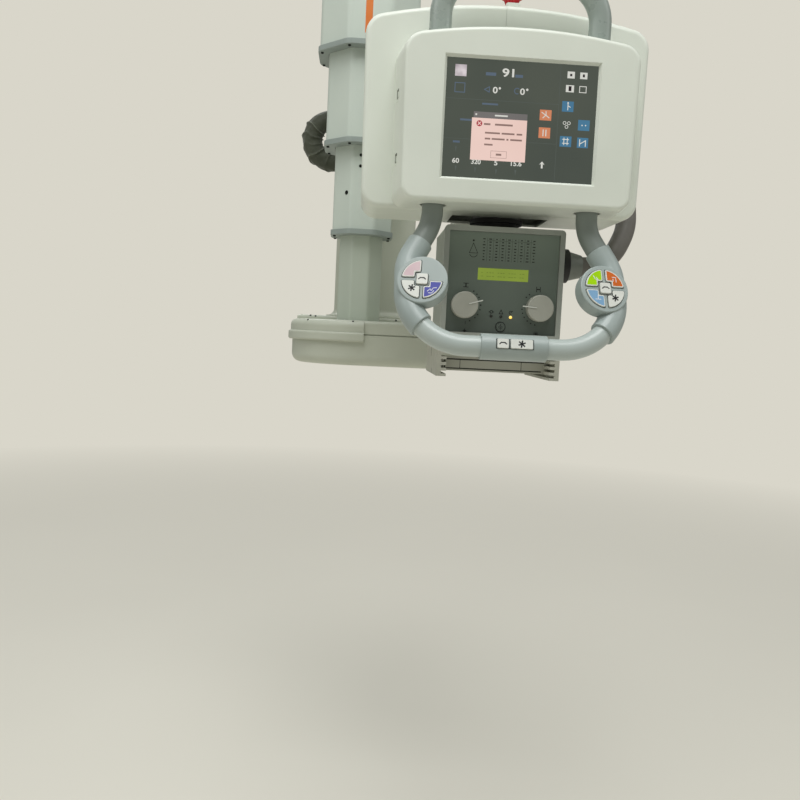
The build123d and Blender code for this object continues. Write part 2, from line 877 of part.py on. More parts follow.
# Frame inside the covers: two plates, two cheeks, and clamps for the handle's tubes
frame_front = cover_front + shell_wall
with BuildPart() as head_frame:
    with BuildSketch(front(frame_front)):
        Rectangle(2 * frame_half, frame_high - frame_low)
        with Locations((-frame_half / 2, 0), (frame_half / 2, 0)):
            RectangleRounded(frame_window, frame_window, collimator_corner, mode=Mode.SUBTRACT)
    extrude(amount=-frame_plate)
    with BuildSketch(front(frame_back - frame_back_plate)):
        Rectangle(2 * frame_half, frame_high - frame_low)
    extrude(amount=-frame_back_plate)
    with BuildSketch(front(frame_front)):
        with Locations((frame_plate / 2 - frame_half, 0), (frame_half - frame_plate / 2, 0)):
            Rectangle(frame_plate, frame_high - frame_low)
    extrude(amount=frame_front - frame_back)
    with BuildSketch(front(frame_back)):
        with GridLocations(1.7 * frame_half, 1.6 * frame_high, 2, 2):
            Circle(standoff / 2)
    extrude(amount=-standoff_length)
    with BuildSketch(front(frame_front)):
        with GridLocations(2 * arch_x, 2 * clamp_height + clamp_thickness, 2, 2):
            Rectangle(clamp_width, clamp_thickness)
    extrude(amount=frame_front - clamp_front)
    with BuildSketch(head_level(0)):
        with Locations((-arch_x, handle_depth), (arch_x, handle_depth)):
            Circle(handle_diameter / 2 + slide_fit)
    extrude(amount=arch_top, mode=Mode.SUBTRACT)
    with BuildSketch(head_level(0)):
        with Locations((-ring_x, handle_depth), (ring_x, handle_depth)):
            Circle(neck_diameter / 2 + slide_fit)
    extrude(amount=underside, mode=Mode.SUBTRACT)
head_frame.part.label = "head_frame"
export_step(head_frame.part, "parts/head_frame.step")

# Tube housing across the head, with its end caps and the beam port below
housing_length = 2 * (frame_half - frame_plate)
with BuildPart() as tube_housing:
    with BuildSketch(side(-housing_length / 2)):
        with Locations((beam_depth, housing_z)):
            Circle(housing_diameter / 2)
    extrude(amount=housing_length)
    with BuildSketch(side(-housing_length / 2), side(housing_length / 2 - housing_cap)):
        with Locations((beam_depth, housing_z)):
            Circle(housing_diameter / 2 + housing_cap_lip)
    extrude(amount=housing_cap)
    with BuildSketch(head_level(underside)):
        with Locations((0, beam_depth)):
            Circle(port_diameter / 2)
    extrude(amount=housing_z - underside)
tube_housing.part.label = "tube_housing"
export_step(tube_housing.part, "parts/tube_housing.step")

# Flange under the port, which carries the collimator
beam_hole = neck_waist - 2 * collimator_wall
with BuildPart() as collimator_flange:
    with BuildSketch(head_level(underside)):
        with Locations((0, beam_depth)):
            Circle(neck_flange / 2)
    extrude(amount=-neck_flange_thickness)
    with BuildSketch(head_level(collimator_top)):
        with Locations((0, beam_depth)):
            Circle(neck_waist / 2)
    extrude(amount=underside - neck_flange_thickness - collimator_top)
    with BuildSketch(head_level(underside)):
        with Locations((0, beam_depth)):
            Circle(beam_hole / 2)
    extrude(amount=collimator_top - underside, mode=Mode.SUBTRACT)
collimator_flange.part.label = "collimator_flange"
export_step(collimator_flange.part, "parts/collimator_flange.step")

# Collimator housing: a box with the beam's hole above and a window below
collimator_front = beam_depth - collimator_length / 2
window_seat = beam_window + 2 * slide_fit
with BuildPart() as collimator_housing:
    with BuildSketch(head_level(collimator_low)):
        with Locations((0, beam_depth)):
            RectangleRounded(collimator_width, collimator_length, collimator_corner)
    extrude(amount=collimator_top - collimator_low)
    with BuildSketch(head_level(collimator_low + collimator_wall)):
        with Locations((0, beam_depth)):
            RectangleRounded(
                collimator_width - 2 * collimator_wall, collimator_length - 2 * collimator_wall,
                collimator_corner - collimator_wall)
    extrude(amount=collimator_top - collimator_low - 2 * collimator_wall, mode=Mode.SUBTRACT)
    with BuildSketch(head_level(collimator_top)):
        with Locations((0, beam_depth)):
            Circle(beam_hole / 2)
    extrude(amount=-collimator_wall, mode=Mode.SUBTRACT)
    with BuildSketch(head_level(collimator_low)):
        with Locations((0, beam_depth)):
            Rectangle(window_seat, window_seat)
    extrude(amount=collimator_wall / 2, mode=Mode.SUBTRACT)
    with BuildSketch(head_level(collimator_low)):
        with Locations((0, beam_depth)):
            Rectangle(beam_window - collimator_corner, beam_window - collimator_corner)
    extrude(amount=collimator_wall, mode=Mode.SUBTRACT)
    with BuildSketch(side(collimator_width / 2)):
        with Locations((gland_depth, gland_z)):
            Circle(gland_bore / 2)
    extrude(amount=-collimator_wall, mode=Mode.SUBTRACT)
collimator_housing.part.label = "collimator_housing"
export_step(collimator_housing.part, "parts/collimator_housing.step")

# Frame round the collimator's panel
bezel_height = collimator_top - collimator_low
bezel_middle = (collimator_top + collimator_low) / 2
panel_width = bezel_width - 2 * bezel_side
panel_height = bezel_height - 2 * bezel_rim
with BuildPart() as collimator_frame:
    with BuildSketch(front(collimator_front - bezel_thickness)):
        with Locations((0, bezel_middle)):
            RectangleRounded(bezel_width, bezel_height, bezel_corner)
            Rectangle(panel_width + 2 * slide_fit, panel_height + 2 * slide_fit, mode=Mode.SUBTRACT)
    extrude(amount=-bezel_thickness)
collimator_frame.part.label = "collimator_frame"
export_step(collimator_frame.part, "parts/collimator_frame.step")

# Control panel with its pockets and the knobs' holes
panel_front = collimator_front - panel_thickness
lamp_button_pocket = lamp_button_length - lamp_button_proud + lamp_button_travel + key_clearance
with BuildPart() as collimator_panel:
    with BuildSketch(front(panel_front)):
        with Locations((0, bezel_middle)):
            Rectangle(panel_width, panel_height)
        with Locations((-knob_x, knob_z), (knob_x, knob_z)):
            Circle(knob_shaft / 2 + knob_clearance, mode=Mode.SUBTRACT)
    extrude(amount=-panel_thickness)
    with BuildSketch(front(panel_front)):
        with Locations((0, display_z)):
            Rectangle(display_width + 2 * slide_fit, display_height + 2 * slide_fit)
    extrude(amount=-display_thickness, mode=Mode.SUBTRACT)
    with BuildSketch(front(panel_front)):
        with Locations((0, lamp_button_z)):
            Circle(lamp_button_diameter / 2 + slide_fit)
    extrude(amount=-lamp_button_pocket, mode=Mode.SUBTRACT)
collimator_panel.part.label = "collimator_panel"
export_step(collimator_panel.part, "parts/collimator_panel.step")

with BuildPart() as collimator_display:
    with BuildSketch(front(panel_front)):
        with Locations((0, display_z)):
            Rectangle(display_width, display_height)
    extrude(amount=-display_thickness)
collimator_display.part.label = "collimator_display"
export_step(collimator_display.part, "parts/collimator_display.step")

with BuildPart() as lamp_button:
    with BuildSketch(front(panel_front - lamp_button_proud)):
        with Locations((0, lamp_button_z)):
            Circle(lamp_button_diameter / 2)
    extrude(amount=-lamp_button_length)
lamp_button.part.label = "lamp_button"
export_step(lamp_button.part, "parts/lamp_button.step")

with BuildPart() as beam_cover:
    with BuildSketch(head_level(collimator_low + collimator_wall / 2)):
        with Locations((0, beam_depth)):
            Rectangle(beam_window, beam_window)
    extrude(amount=-beam_window_thickness)
beam_cover.part.label = "beam_window"
export_step(beam_cover.part, "parts/beam_window.step")


def turning_knob(x, pointer_turn):
    """Round knob on its shaft, with a thin pointer that reaches past the rim."""
    back = panel_front - running_gap
    face = back - knob_length
    with BuildPart() as knob:
        with BuildSketch(front(face)):
            with Locations((x, knob_z)):
                Circle(knob_diameter / 2)
        extrude(amount=-knob_length)
        fillet(knob.edges().group_by(Axis.Y)[0], knob_edge)
        with BuildSketch(front(back)):
            with Locations((x, knob_z)):
                Circle(knob_shaft / 2)
        extrude(amount=-knob_shaft_length)
        with BuildSketch(front(face - pointer_proud)):
            with Locations(Location((x, knob_z), pointer_turn)):
                with Locations(((pointer_start + pointer_reach) / 2, 0)):
                    Rectangle(pointer_reach - pointer_start, pointer_width)
        extrude(amount=-pointer_proud - pointer_depth)
    return knob


knob_left = turning_knob(-knob_x, left_pointer_turn)
knob_left.part.label = "knob_left"
export_step(knob_left.part, "parts/knob_left.step")
knob_right = turning_knob(knob_x, right_pointer_turn)
knob_right.part.label = "knob_right"
export_step(knob_right.part, "parts/knob_right.step")

# Accessory rails under the collimator, grooved on their inner faces, and their crossbar
rail_middle = (rail_outer + rail_inner) / 2
with BuildPart() as accessory_rails:
    with BuildSketch(front(rail_front)):
        with Locations((0, (collimator_low + rail_low) / 2)):
            with GridLocations(2 * rail_middle, 0, 2, 1):
                Rectangle(rail_outer - rail_inner, collimator_low - rail_low)
        with Locations((0, rail_low + rail_groove_first)):
            with GridLocations(2 * rail_inner, rail_groove_pitch, 2, rail_grooves):
                Rectangle(2 * rail_groove_depth, rail_groove, mode=Mode.SUBTRACT)
    extrude(amount=rail_front - rail_back)
    with BuildSketch(front(crossbar_front)):
        with Locations((0, (crossbar_high + crossbar_low) / 2)):
            Rectangle(2 * rail_middle, crossbar_high - crossbar_low)
    extrude(amount=-crossbar_thickness)
accessory_rails.part.label = "accessory_rails"
export_step(accessory_rails.part, "parts/accessory_rails.step")

# Handle above the console: one bent tube
arch_route = [
    on_head(-arch_x, handle_depth, clamp_height), on_head(-arch_x, handle_depth, arch_top),
    on_head(arch_x, handle_depth, arch_top), on_head(arch_x, handle_depth, clamp_height)]
with BuildPart() as upper_handle:
    with BuildLine() as arch_path:
        FilletPolyline(*arch_route, radius=arch_corner)
    with BuildSketch(Plane(origin=arch_path.line @ 0, z_dir=arch_path.line % 0)):
        Circle(handle_diameter / 2)
        Circle(handle_diameter / 2 - handle_wall, mode=Mode.SUBTRACT)
    sweep()
upper_handle.part.label = "upper_handle"
export_step(upper_handle.part, "parts/upper_handle.step")

# Path of the ring below: down from the console, outward and forward, then across
ring_right = [
    on_head(ring_x, handle_depth, -clamp_height), on_head(ring_x, handle_depth, ring_bend_z),
    on_head(ring_wide_x, ring_knee_depth, ring_knee_z), on_head(ring_wide_x, bar_depth, bar_z)]
ring_left = [Vector(2 * head_x - point.X, point.Y, point.Z) for point in ring_right]
ring_radii = [ring_shoulder_radius, ring_shoulder_radius, ring_corner_radius]
with BuildLine() as ring_path:
    FilletPolyline(*ring_left, *reversed(ring_right), radius=ring_radii + ring_radii[::-1])
ring_edges = ring_path.wire().order_edges()
neck_path = Wire([ring_edges[0], ring_edges[1], ring_edges[2].trim(0, grip_start)])
left_grip_path = Wire([
    ring_edges[2].trim(grip_start, 1), ring_edges[3], ring_edges[4], ring_edges[5].trim(0, grip_end)])
right_grip_path = Wire([
    ring_edges[7].trim(1 - grip_end, 1), ring_edges[8], ring_edges[9],
    ring_edges[10].trim(0, 1 - grip_start)])


def swept_bar(path, diameter):
    """Round bar along a path."""
    with BuildPart() as bar:
        with BuildSketch(Plane(origin=path @ 0, z_dir=path % 0)):
            Circle(diameter / 2)
        sweep(path=path)
    return bar.part


# Ring: a bent tube, thicker where it leaves the console
with BuildPart() as lower_ring:
    add(swept_bar(ring_path.wire(), ring_diameter))
    add(swept_bar(neck_path, neck_diameter))
    add(mirror(swept_bar(neck_path, neck_diameter), about=side(0)))
    add(swept_bar(ring_path.wire(), ring_diameter - 2 * ring_wall), mode=Mode.SUBTRACT)
lower_ring.part.label = "lower_ring"
export_step(lower_ring.part, "parts/lower_ring.step")


def pod_face(hand):
    """Plane in a key housing's face, left for a hand of -1 and right for 1."""
    lean = radians(pod_lean)
    splay = radians(pod_splay)
    return Plane(
        origin=on_head(hand * pod_x, pod_depth, pod_z), x_dir=(cos(splay), hand * sin(splay), 0),
        z_dir=(hand * sin(splay) * cos(lean), -cos(splay) * cos(lean), sin(lean)))


def sector(across, up, grow):
    """Quarter-round key outline in one quadrant, notched for the key in the middle."""
    low = sector_inset - grow
    notch = sector_notch - grow
    middle = low + sector_radius / 2
    with BuildSketch() as outline:
        Circle(sector_radius + grow)
        with Locations((across * middle, up * middle)):
            Rectangle(sector_radius, sector_radius, mode=Mode.INTERSECT)
        Rectangle(2 * notch, 2 * notch, mode=Mode.SUBTRACT)
        fillet(outline.vertices(), sector_corner)
    return outline.sketch


def centre_outline(grow):
    """Outline of the square key in the middle of a housing."""
    with BuildSketch() as outline:
        RectangleRounded(centre_key + 2 * grow, centre_key + 2 * grow, centre_key_corner + grow)
    return outline.sketch


def grip_body(hand, path):
    """Grip round the ring with the round key housing on it, before its pockets."""
    outward = Axis(pod_face(hand).origin, pod_face(hand).z_dir)
    with BuildPart() as bar:
        add(swept_bar(path, grip_diameter))
        for end in (path @ 0, path @ 1):
            circles = bar.edges().filter_by(GeomType.CIRCLE)
            fillet(circles.sort_by(lambda edge: (edge.arc_center - end).length)[0], grip_edge)
    with BuildPart() as pod:
        with BuildSketch(pod_face(hand)):
            Circle(pod_diameter / 2)
        extrude(amount=-pod_thickness)
        fillet(pod.edges().sort_by(outward)[-1], pod_front_edge)
        fillet(pod.edges().sort_by(outward)[0], pod_back_edge)
    with BuildPart() as body:
        add(bar.part)
        add(pod.part)
        add(swept_bar(ring_path.wire(), ring_diameter + 2 * grip_fit), mode=Mode.SUBTRACT)
    return body.part


# Grips, with a round key housing on each, pocketed for its keys
pocket_depth = key_depth + key_travel + key_clearance
with BuildPart() as left_grip:
    add(grip_body(-1, left_grip_path))
    with BuildSketch(pod_face(-1)):
        add(sector(-1, 1, key_gap))
        add(sector(-1, -1, key_gap))
        add(sector(1, -1, key_gap))
        add(centre_outline(key_gap))
    extrude(amount=-pocket_depth, mode=Mode.SUBTRACT)
left_grip.part.label = "left_grip"
export_step(left_grip.part, "parts/left_grip.step")

with BuildPart() as right_grip:
    add(grip_body(1, right_grip_path))
    with BuildSketch(pod_face(1)):
        add(sector(-1, 1, key_gap))
        add(sector(1, 1, key_gap))
        add(sector(-1, -1, key_gap))
        add(sector(1, -1, key_gap))
        add(centre_outline(key_gap))
    extrude(amount=-pocket_depth, mode=Mode.SUBTRACT)
right_grip.part.label = "right_grip"
export_step(right_grip.part, "parts/right_grip.step")


def housing_key(hand, outline, proud):
    """Key in a housing, standing proud of its face."""
    with BuildPart() as key:
        with BuildSketch(pod_face(hand).offset(-key_depth)):
            add(outline)
        extrude(amount=key_depth + proud)
        fillet(key.faces().sort_by(Axis(pod_face(hand).origin, pod_face(hand).z_dir))[-1].edges(), key_edge)
    return key


# Keys of the left housing
key_left_top = housing_key(-1, sector(-1, 1, 0), key_proud)
key_left_top.part.label = "key_left_top"
export_step(key_left_top.part, "parts/key_left_top.step")
key_left_star = housing_key(-1, sector(-1, -1, 0), key_proud)
key_left_star.part.label = "key_left_star"
export_step(key_left_star.part, "parts/key_left_star.step")
key_left_low = housing_key(-1, sector(1, -1, 0), key_proud)
key_left_low.part.label = "key_left_low"
export_step(key_left_low.part, "parts/key_left_low.step")
key_left_middle = housing_key(-1, centre_outline(0), centre_key_proud)
key_left_middle.part.label = "key_left_middle"
export_step(key_left_middle.part, "parts/key_left_middle.step")

# Keys of the right housing
key_right_green = housing_key(1, sector(-1, 1, 0), key_proud)
key_right_green.part.label = "key_right_green"
export_step(key_right_green.part, "parts/key_right_green.step")
key_right_orange = housing_key(1, sector(1, 1, 0), key_proud)
key_right_orange.part.label = "key_right_orange"
export_step(key_right_orange.part, "parts/key_right_orange.step")
key_right_blue = housing_key(1, sector(-1, -1, 0), key_proud)
key_right_blue.part.label = "key_right_blue"
export_step(key_right_blue.part, "parts/key_right_blue.step")
key_right_star = housing_key(1, sector(1, -1, 0), key_proud)
key_right_star.part.label = "key_right_star"
export_step(key_right_star.part, "parts/key_right_star.step")
key_right_middle = housing_key(1, centre_outline(0), centre_key_proud)
key_right_middle.part.label = "key_right_middle"
export_step(key_right_middle.part, "parts/key_right_middle.step")


def bar_face(radius):
    """Plane at a distance from the bar's axis, tilted up for the keys on the bar."""
    tilt = radians(bar_key_tilt)
    return Plane(
        origin=on_head(0, bar_depth - radius * cos(tilt), bar_z + radius * sin(tilt)),
        x_dir=(1, 0, 0), z_dir=(0, -cos(tilt), sin(tilt)))


# Sleeve on the bar, with pockets for its two keys
key_top = sleeve_diameter / 2 + bar_key_proud
key_floor = key_top - bar_key_thickness
small_middle = bar_keys_left + bar_key_small / 2
wide_middle = bar_keys_left + bar_key_small + bar_key_between + bar_key_wide / 2
with BuildPart() as bar_sleeve:
    with BuildSketch(side(-sleeve_length / 2)):
        with Locations((bar_depth, bar_z)):
            Circle(sleeve_diameter / 2)
    extrude(amount=sleeve_length)
    fillet(bar_sleeve.edges().filter_by(GeomType.CIRCLE), sleeve_edge)
    with BuildSketch(side(-sleeve_length / 2)):
        with Locations((bar_depth, bar_z)):
            Circle(ring_diameter / 2 + grip_fit)
    extrude(amount=sleeve_length, mode=Mode.SUBTRACT)
    with BuildSketch(bar_face(key_floor - bar_key_travel - bar_key_clearance)):
        with Locations((small_middle, 0)):
            RectangleRounded(
                bar_key_small + 2 * bar_key_gap, bar_key_height + 2 * bar_key_gap,
                bar_key_corner + bar_key_gap)
        with Locations((wide_middle, 0)):
            RectangleRounded(
                bar_key_wide + 2 * bar_key_gap, bar_key_height + 2 * bar_key_gap,
                bar_key_corner + bar_key_gap)
    extrude(amount=sleeve_diameter, mode=Mode.SUBTRACT)
bar_sleeve.part.label = "bar_sleeve"
export_step(bar_sleeve.part, "parts/bar_sleeve.step")


def bar_key(middle, width):
    """Key on the bar."""
    with BuildPart() as key:
        with BuildSketch(bar_face(key_floor)):
            with Locations((middle, 0)):
                RectangleRounded(width, bar_key_height, bar_key_corner)
        extrude(amount=bar_key_thickness)
        fillet(key.faces().sort_by(Axis(bar_face(0).origin, bar_face(0).z_dir))[-1].edges(), key_edge)
    return key


key_bar_small = bar_key(small_middle, bar_key_small)
key_bar_small.part.label = "key_bar_small"
export_step(key_bar_small.part, "parts/key_bar_small.step")
key_bar_wide = bar_key(wide_middle, bar_key_wide)
key_bar_wide.part.label = "key_bar_wide"
export_step(key_bar_wide.part, "parts/key_bar_wide.step")

# Gland on the collimator's side: neck, nut and cone
with BuildPart() as gland_tube:
    with BuildSketch(side(collimator_width / 2)):
        with Locations((gland_depth, gland_z)):
            Circle(gland_neck / 2)
            Circle(gland_bore / 2, mode=Mode.SUBTRACT)
    extrude(amount=nut_start - collimator_width / 2)
gland_tube.part.label = "gland_neck"
export_step(gland_tube.part, "parts/gland_neck.step")

with BuildPart() as gland_nut:
    with BuildSketch(side(nut_start)):
        with Locations((gland_depth, gland_z)):
            Circle(nut_diameter / 2)
    extrude(amount=nut_end - nut_start)
    fillet(gland_nut.edges().filter_by(GeomType.CIRCLE), nut_edge)
    with BuildSketch(side(nut_start)):
        with Locations((gland_depth, gland_z)):
            Circle(gland_bore / 2)
    extrude(amount=nut_end - nut_start, mode=Mode.SUBTRACT)
gland_nut.part.label = "gland_nut"
export_step(gland_nut.part, "parts/gland_nut.step")

with BuildPart() as gland_cone:
    with BuildSketch(side(nut_end)):
        with Locations((gland_depth, gland_z)):
            Circle(cone_diameter / 2)
    with BuildSketch(side(cone_end)):
        with Locations((gland_depth, gland_z)):
            Circle(cone_tip / 2)
    loft()
    with BuildSketch(side(nut_end)):
        with Locations((gland_depth, gland_z)):
            Circle(hose_diameter / 2 + hose_gap)
    extrude(amount=cone_end - nut_end, mode=Mode.SUBTRACT)
gland_cone.part.label = "gland_cone"
export_step(gland_cone.part, "parts/gland_cone.step")

# Hose from the gland round the rear cover's corner and up into its entry
hose_runs = [finish - start for start, finish in zip(hose_route, hose_route[1:])]
hose_radii = [
    0.45 * min(before.length, after.length) / tan(radians(before.get_angle(after)) / 2)
    for before, after in zip(hose_runs, hose_runs[1:])]
print("hose radii", [round(radius, 1) for radius in hose_radii])
with BuildPart() as hose:
    with BuildLine() as hose_path:
        FilletPolyline(*hose_route, radius=hose_radii)
    with BuildSketch(Plane(origin=hose_route[0], z_dir=hose_runs[0])):
        Circle(hose_diameter / 2)
    sweep()
print("hose length", round(hose_path.wire().length, 1))
hose.part.label = "hose"
export_step(hose.part, "parts/hose.step")

# Stop button on the ridge: a collar that widens upward, and a mushroom button on its stem
with BuildPart() as stop_collar:
    with BuildSketch(head_level(ridge_top)):
        with Locations((stop_x, stop_depth)):
            Circle(stop_collar_foot / 2)
    with BuildSketch(head_level(ridge_top + stop_collar_height)):
        with Locations((stop_x, stop_depth)):
            Circle(stop_collar_diameter / 2)
    loft()
    with BuildSketch(head_level(ridge_top)):
        with Locations((stop_x, stop_depth)):
            Circle(stop_stem / 2 + stop_clearance)
    extrude(amount=stop_collar_height, mode=Mode.SUBTRACT)
stop_collar.part.label = "stop_collar"
export_step(stop_collar.part, "parts/stop_collar.step")

stop_foot = ridge_top + stop_travel + running_gap
with BuildPart() as stop_button:
    with BuildSketch(head_level(stop_foot + stop_collar_height)):
        with Locations((stop_x, stop_depth)):
            Circle(stop_head / 2)
    extrude(amount=stop_head_height)
    fillet(stop_button.edges().group_by(Axis.Z)[-1], stop_edge)
    with BuildSketch(head_level(stop_foot)):
        with Locations((stop_x, stop_depth)):
            Circle(stop_stem / 2)
    extrude(amount=stop_collar_height)
stop_button.part.label = "stop_button"
export_step(stop_button.part, "parts/stop_button.step")
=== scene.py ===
"""Looks of the ceiling-hung x-ray tube unit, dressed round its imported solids.

Lengths are millimetres until at() turns them into the frame's metres. A place is given as
(x, depth, height): right of the screen's middle, back from the console's face, and up.
"""

from collections import namedtuple
from math import atan2, cos, pi, radians, sin

import bpy
from mathutils import Matrix, Vector, noise


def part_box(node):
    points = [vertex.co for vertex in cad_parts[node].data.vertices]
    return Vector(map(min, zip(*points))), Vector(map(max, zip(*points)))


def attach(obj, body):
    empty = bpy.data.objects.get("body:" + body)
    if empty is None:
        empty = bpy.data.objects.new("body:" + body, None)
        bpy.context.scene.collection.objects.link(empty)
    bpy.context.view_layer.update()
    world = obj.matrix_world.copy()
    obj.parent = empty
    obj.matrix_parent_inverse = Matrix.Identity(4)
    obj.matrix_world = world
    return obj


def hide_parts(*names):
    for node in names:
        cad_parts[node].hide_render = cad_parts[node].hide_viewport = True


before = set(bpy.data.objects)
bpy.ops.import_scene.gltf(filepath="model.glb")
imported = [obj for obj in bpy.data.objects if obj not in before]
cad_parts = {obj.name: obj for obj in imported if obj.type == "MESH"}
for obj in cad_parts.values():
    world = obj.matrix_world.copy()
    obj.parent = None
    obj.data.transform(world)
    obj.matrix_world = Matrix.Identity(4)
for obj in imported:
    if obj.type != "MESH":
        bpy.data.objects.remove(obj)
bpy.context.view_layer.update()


# Camera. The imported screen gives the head's own measure. The camera stands where the
# photograph's did, a little left of the head's middle and below the console.
SCREEN_SET_BACK = 6
CAMERA_PLACE = (-244.3, -1348.4, -351.5)
CAMERA_TURN, CAMERA_DIP, CAMERA_ROLL = radians(3.03), radians(-4.57), radians(2.74)
LENS = 37.125

screen_low, screen_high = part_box("screen")
head_origin = (screen_low + screen_high) / 2
head_origin.y = screen_low.y - SCREEN_SET_BACK / 1000


def at(x, depth, height):
    """Point of the frame, in metres, from a place on the head."""
    return head_origin + Vector((x, depth, height)) / 1000


ahead = Vector((
    sin(CAMERA_TURN) * cos(CAMERA_DIP), cos(CAMERA_TURN) * cos(CAMERA_DIP), sin(CAMERA_DIP)))
level = Vector((cos(CAMERA_TURN), -sin(CAMERA_TURN), 0))
upward = level.cross(ahead)
across = cos(CAMERA_ROLL) * level + sin(CAMERA_ROLL) * upward
upright = cos(CAMERA_ROLL) * upward - sin(CAMERA_ROLL) * level
camera = bpy.data.objects.new("camera", bpy.data.cameras.new("camera"))
bpy.context.collection.objects.link(camera)
camera.data.lens = LENS
camera.matrix_world = (
    Matrix.Translation(at(*CAMERA_PLACE))
    @ Matrix((across, upright, -ahead)).transposed().to_4x4())
bpy.context.scene.camera = camera
bpy.context.scene.view_settings.view_transform = "Standard"


# Room. A pale floor, low enough for the column's full reach, fades far out into the colour of
# the backdrop. Soft square lamps stand for ceiling panels, with an even light from all round.
FLOOR_DROP = 1400
FLOOR_RADIUS, FLOOR_SIDES = 9.0, 96
FLOOR_SHADES = ("#E0DDD1", "#E8E5D9")
# A cloud is about 900 mm wide.
FLOOR_CLOUDS_PER_METRE = 1.1
FADE_START, FADE_END = 1.2, 6.0
BACKDROP = "#D9D6CA"
AMBIENT, AMBIENT_STRENGTH = "#E8ECE6", 0.3
LAMP_TARGET = (0, 150, 0)
CEILING_LAMPS = (
    ("panel_above", (0.0, -1.7, 1.9), 2.2, 90), ("panel_left", (-2.2, -1.4, 0.8), 1.6, 15),
    ("panel_right", (2.6, -1.2, 0.6), 1.4, 9), ("panel_behind", (-0.4, 2.2, 1.7), 2.0, 44))


def linear(code):
    """Linear colour of an sRGB hex code."""
    parts = [int(code[start:start + 2], 16) / 255 for start in (1, 3, 5)]
    return [*(c / 12.92 if c <= 0.04045 else ((c + 0.055) / 1.055) ** 2.4 for c in parts), 1.0]


def add_node(tree, kind, sockets, **settings):
    """Adds a node with its settings. A socket given another socket is linked to it."""
    made = tree.nodes.new(kind)
    for name, value in settings.items():
        setattr(made, name, value)
    for name, value in sockets.items():
        if isinstance(value, bpy.types.NodeSocket):
            tree.links.new(value, made.inputs[name])
        else:
            made.inputs[name].default_value = value
    return made


def new_material(name):
    """Material with its node tree, its main shader and its object coordinates."""
    material = bpy.data.materials.new(name)
    material.use_nodes = True
    tree = material.node_tree
    vector = tree.nodes.new("ShaderNodeTexCoord").outputs["Object"]
    return material, tree, tree.nodes["Principled BSDF"], vector


def pale_linoleum():
    """Matt pale floor covering, faintly clouded, whose far part is lit as the backdrop is."""
    material, tree, shader, vector = new_material("pale_linoleum")
    shader.inputs["Roughness"].default_value = 0.55
    cloud = add_node(tree, "ShaderNodeTexNoise", {
        "Vector": vector, "Scale": FLOOR_CLOUDS_PER_METRE, "Detail": 4.0})
    tint = add_node(tree, "ShaderNodeMix", {
        0: cloud.outputs["Fac"], 6: linear(FLOOR_SHADES[0]), 7: linear(FLOOR_SHADES[1])},
        data_type="RGBA")
    tree.links.new(tint.outputs[2], shader.inputs["Base Color"])
    length = add_node(tree, "ShaderNodeVectorMath", {0: vector}, operation="LENGTH")
    fade = add_node(tree, "ShaderNodeMapRange", {
        "Value": length.outputs["Value"], "From Min": FADE_START, "From Max": FADE_END})
    far = add_node(tree, "ShaderNodeEmission", {"Color": linear(BACKDROP)})
    blend = add_node(tree, "ShaderNodeMixShader", {
        0: fade.outputs["Result"], 1: shader.outputs[0], 2: far.outputs[0]})
    tree.links.new(blend.outputs[0], tree.nodes["Material Output"].inputs["Surface"])
    return material


def lamp(name, place, size, power):
    """Square soft lamp that faces the head's middle."""
    light = bpy.data.lights.new(name, "AREA")
    light.shape = "SQUARE"
    light.size = size
    light.energy = power
    made = bpy.data.objects.new(name, light)
    made.location = place
    made.rotation_mode = "QUATERNION"
    made.rotation_quaternion = (Vector(place) - at(*LAMP_TARGET)).to_track_quat("Z", "Y")
    bpy.context.collection.objects.link(made)
    return made


floor_mesh = bpy.data.meshes.new("floor")
floor_height = at(0, 0, -FLOOR_DROP).z
floor_turns = [2 * pi * k / FLOOR_SIDES for k in range(FLOOR_SIDES)]
floor_mesh.from_pydata(
    [(FLOOR_RADIUS * cos(turn), FLOOR_RADIUS * sin(turn), floor_height) for turn in floor_turns],
    [], [range(FLOOR_SIDES)])
floor_mesh.materials.append(pale_linoleum())
floor = bpy.data.objects.new("floor", floor_mesh)
bpy.context.collection.objects.link(floor)

world = bpy.data.worlds.new("room")
bpy.context.scene.world = world
world.use_nodes = True
tree = world.node_tree
ambient = tree.nodes["Background"]
ambient.inputs["Color"].default_value = linear(AMBIENT)
ambient.inputs["Strength"].default_value = AMBIENT_STRENGTH
backdrop = add_node(tree, "ShaderNodeBackground", {"Color": linear(BACKDROP)})
rays = tree.nodes.new("ShaderNodeLightPath")
seen = add_node(tree, "ShaderNodeMath", {
    0: rays.outputs["Is Camera Ray"], 1: rays.outputs["Is Transmission Ray"]},
    operation="MAXIMUM")
choice = add_node(tree, "ShaderNodeMixShader", {
    0: seen.outputs[0], 1: ambient.outputs[0], 2: backdrop.outputs[0]})
tree.links.new(choice.outputs[0], tree.nodes["World Output"].inputs["Surface"])
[lamp(*values) for values in CEILING_LAMPS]


# Column. Four octagonal aluminium extrusions hang inside each other from a ceiling plate. The
# outer three are powder coated and end in a bolted collar, the inner one is anodised, and
# moulded guides centre them.
NOISE_LOW, NOISE_HIGH = 0.3, 0.7
GLOSS_SPREAD = 0.06
DRAWN_UP = (1, 1, 0.05)


